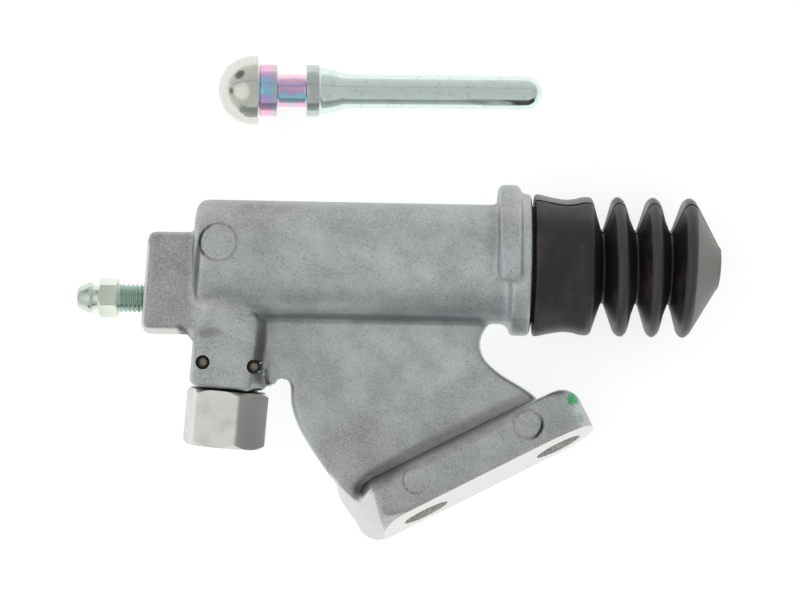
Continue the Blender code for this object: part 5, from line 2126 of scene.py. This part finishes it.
@dataclass(frozen=True)
class Studio:
    """A light table: a white floor and a white tent with darker sides, seen from straight above."""

    centre: Pair = (0.00029, -0.00034)
    height: float = 0.6515
    turn: float = 1.1
    lens: float = 123.75
    floor_size: float = 3.0
    sky: tuple[Pair, ...] = ((0.0, 0.78), (0.25, 0.66), (0.6, 0.59), (1.0, 0.53))
    bar: Pair = (0.516, 0.012)
    lamp_place: Triple = (-0.7, 0.45, 0.9)
    lamp_size: Pair = (0.7, 0.5)
    lamp_power: float = 1.0
    stands: tuple[tuple[Triple, float, float], ...] = (
        ((-0.61, 0.70, 0.38), 11.0, 0.75),
        ((-0.96, -0.06, 0.26), 8.0, 0.7),
        ((-0.57, -0.12, 0.81), 21.0, -0.6),
    )

    def camera(self) -> None:
        """The photograph's camera."""
        data = bpy.data.cameras.new("photo_camera")
        data.lens = self.lens
        data.sensor_width = 36.0
        data.clip_start = 0.01
        camera = bpy.data.objects.new("photo_camera", data)
        camera.location = (*self.centre, self.height)
        camera.rotation_euler = (0.0, 0.0, math.radians(self.turn))
        bpy.context.scene.collection.objects.link(camera)
        bpy.context.scene.camera = camera

    @staticmethod
    def towards(n: NodeTree, way: Triple | np.ndarray) -> Socket:
        """How far the direction looked in goes along a way."""
        return n.axis(darker(way, MM), (0.0, 0.0, 0.0))

    def world(self) -> None:
        """A grey sky by direction, with a lit pane and a few dark things standing round the table."""
        world = bpy.data.worlds.new("tent")
        world.use_nodes = True
        bpy.context.scene.world = world
        n = NodeTree(world.node_tree, "Generated")
        x, y, z = (self.towards(n, way) for way in np.eye(3))
        sky = n.colours(z, [(place, (level, level, 0.985 * level)) for place, level in self.sky])
        dark = n.times(n.ramp(x, 0.45, 0.93), n.ramp(z, 0.75, 0.3), 0.2)
        front = n.times(n.ramp(z, 0.04, 0.12), n.ramp(z, 0.52, 0.33))
        front = n.times(front, n.ramp(y, -0.3, -0.7), n.ramp(x, -0.7, -0.25))
        slope, half = self.bar
        off = n.math("ABSOLUTE", n.math("MULTIPLY_ADD", z, -slope, y))
        bar = n.times(n.ramp(off, 2.0 * half, half), n.ramp(z, 0.3, 0.5))
        keep = n.math("SUBTRACT", 1.0, dark)
        shades = [(front, 0.84), (bar, 0.6)]
        for way, reach, depth in self.stands:
            outer, inner = (math.cos(math.radians(share * reach)) for share in (1.6, 0.7))
            shades.append((n.ramp(self.towards(n, way), outer, inner), depth))
        for shade, depth in shades:
            keep = n.times(keep, n.math("MULTIPLY_ADD", shade, -depth, 1.0))
        seen = n.node("LightPath").outputs["Is Camera Ray"]
        background = world.node_tree.nodes["Background"]
        n.feed(background.inputs["Color"], n.mix(seen, sky, (1.0, 1.0, 1.0)))
        n.feed(background.inputs["Strength"], n.math("MAXIMUM", keep, seen))

    def floor(self) -> None:
        """A white floor that glows as a light table does, and still shows a faint shadow."""
        half = self.floor_size / 2
        corners = [(-half, -half, 0.0), (half, -half, 0.0), (half, half, 0.0), (-half, half, 0.0)]
        mesh = bpy.data.meshes.new("floor")
        mesh.from_pydata(corners, [], [(0, 1, 2, 3)])
        obj = bpy.data.objects.new("floor", mesh)
        bpy.context.scene.collection.objects.link(obj)
        n = Nodes("light_table")
        tree = n.tree
        tree.nodes.remove(n.shader)
        seen = n.node("LightPath").outputs["Is Camera Ray"]
        glow = n.node("Emission", (1.0, 1.0, 1.0, 1.0), n.math("MULTIPLY_ADD", seen, -0.2, 0.95))
        paper = n.node("BsdfDiffuse", n.mix(seen, (0.1, 0.1, 0.1), (0.5, 0.5, 0.5)))
        total = n.node("AddShader", glow.outputs[0], paper.outputs[0])
        tree.links.new(total.outputs[0], tree.nodes["Material Output"].inputs["Surface"])
        mesh.materials.append(n.material)

    def lamps(self) -> None:
        """One broad soft lamp from the upper left."""
        data = bpy.data.lights.new("softbox", "AREA")
        data.shape = "RECTANGLE"
        data.size, data.size_y = self.lamp_size
        data.energy = self.lamp_power
        data.specular_factor = 0.0
        lamp = bpy.data.objects.new("softbox", data)
        lamp.location = self.lamp_place
        lamp.rotation_euler = (-lamp.location).to_track_quat("-Z", "Y").to_euler()
        lamp.visible_glossy = False
        bpy.context.scene.collection.objects.link(lamp)

    def build(self) -> None:
        """Sets up the camera, the world, the floor and the lamp."""
        bpy.context.scene.view_settings.view_transform = "Standard"
        self.camera()
        self.world()
        self.floor()
        self.lamps()


@dataclass
class SlaveCylinder:
    """The whole object: new pieces over the CAD model, and finishes for the nodes that stay."""

    datum: Datum
    casting: Casting = Casting()
    boot: DustBoot = DustBoot()
    rod: PushRod = PushRod()
    bleeder: BleedScrew = BleedScrew()
    spring: PistonSpring = PistonSpring()
    seal_black: Triple = (0.015, 0.015, 0.015)

    def pieces(self) -> list[tuple[Piece, Body, Slot, str]]:
        """Lists the new pieces.

        Returns:
            For each piece itself, its body, its slot and the CAD node whose place it takes.
        """
        boss = self.casting.boss
        listed = [
            (self.casting, Body.CASTING, Slot.CAST, "cylinder_body"),
            (self.boot, Body.CASTING, Slot.BOOT, "dust_boot"),
            (self.rod, Body.CASTING, Slot.ZINC, "push_rod"),
            (self.bleeder, Body.BLEEDER, Slot.ZINC, "bleed_screw"),
            (PipeUnion(boss), Body.UNION, Slot.MACHINED, "pipe_union"),
        ]
        for side, sign in (("left", -1), ("right", 1)):
            pin = RollPin("pin_" + side, boss.pin_centre(sign))
            listed.append((pin, Body.CASTING, Slot.SPRING, "roll_pin_" + side))
        return [*listed, (self.spring, Body.CASTING, Slot.SPRING, "piston_spring")]

    def place(self, obj: Object, body: Body, slot: Slot, *nodes: str) -> None:
        """Lets a piece ride on a body in the place of CAD nodes.

        Args:
            obj: The piece.
            body: The body.
            slot: The material slot; not used.
            nodes: The names of the nodes.
        """
        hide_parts(*nodes)
        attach(obj, body.value)
        LOG.info("%s: %d faces for %s", obj.name, len(obj.data.polygons), ", ".join(nodes))

    def build(self) -> None:
        """Makes, dresses and places every new piece, and gives the coil a mesh of its own."""
        made = {}
        for piece, body, slot, node in self.pieces():
            made[node] = piece.build(self.datum)
            piece.dress(made[node], self.datum)
            self.place(made[node], body, slot, node)
        anchor = self.datum.spot(self.spring.anchor, 0, 0)
        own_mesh(made["piston_spring"])

    def dress_nodes(self) -> None:
        """Gives the CAD nodes that stay a finish of their own."""
        finishes = {
            "piston": TurnedSteel("piston_alloy", (0.66, 0.66, 0.64), 0.32, pitch=0.3).material(),
            "primary_cup": MouldedRubber("cup_rubber", self.seal_black).material(),
            "secondary_seal": MouldedRubber("ring_rubber", self.seal_black).material(),
            "spring_seat": ZincPlate("seat_plate").material(),
            "stop_ring": TurnedSteel("ring_steel", (0.14, 0.14, 0.15), 0.35, pitch=0.5).material(),
            "union_seal_ring": MouldedRubber("seal_rubber", self.seal_black).material(),
        }
        for name, finish in finishes.items():
            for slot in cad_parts[name].material_slots:
                slot.material = finish
            LOG.info("%s: finished as %s", name, finish.name)


def main() -> None:
    """Builds the scene."""
    logging.basicConfig(level=logging.INFO, format="%(name)s %(message)s")
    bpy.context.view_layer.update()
    datum = Datum.from_frame(DustBoot().start)
    part = SlaveCylinder(datum)
    part.build()
    part.dress_nodes()
    Studio().build()
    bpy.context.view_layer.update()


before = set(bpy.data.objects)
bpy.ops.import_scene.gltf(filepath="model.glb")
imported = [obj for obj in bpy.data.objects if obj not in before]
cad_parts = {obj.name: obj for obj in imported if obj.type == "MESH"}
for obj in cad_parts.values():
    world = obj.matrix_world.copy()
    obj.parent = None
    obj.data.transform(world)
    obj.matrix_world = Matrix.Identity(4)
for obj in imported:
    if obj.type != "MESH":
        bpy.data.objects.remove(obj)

if __name__ == "__main__":
    main()
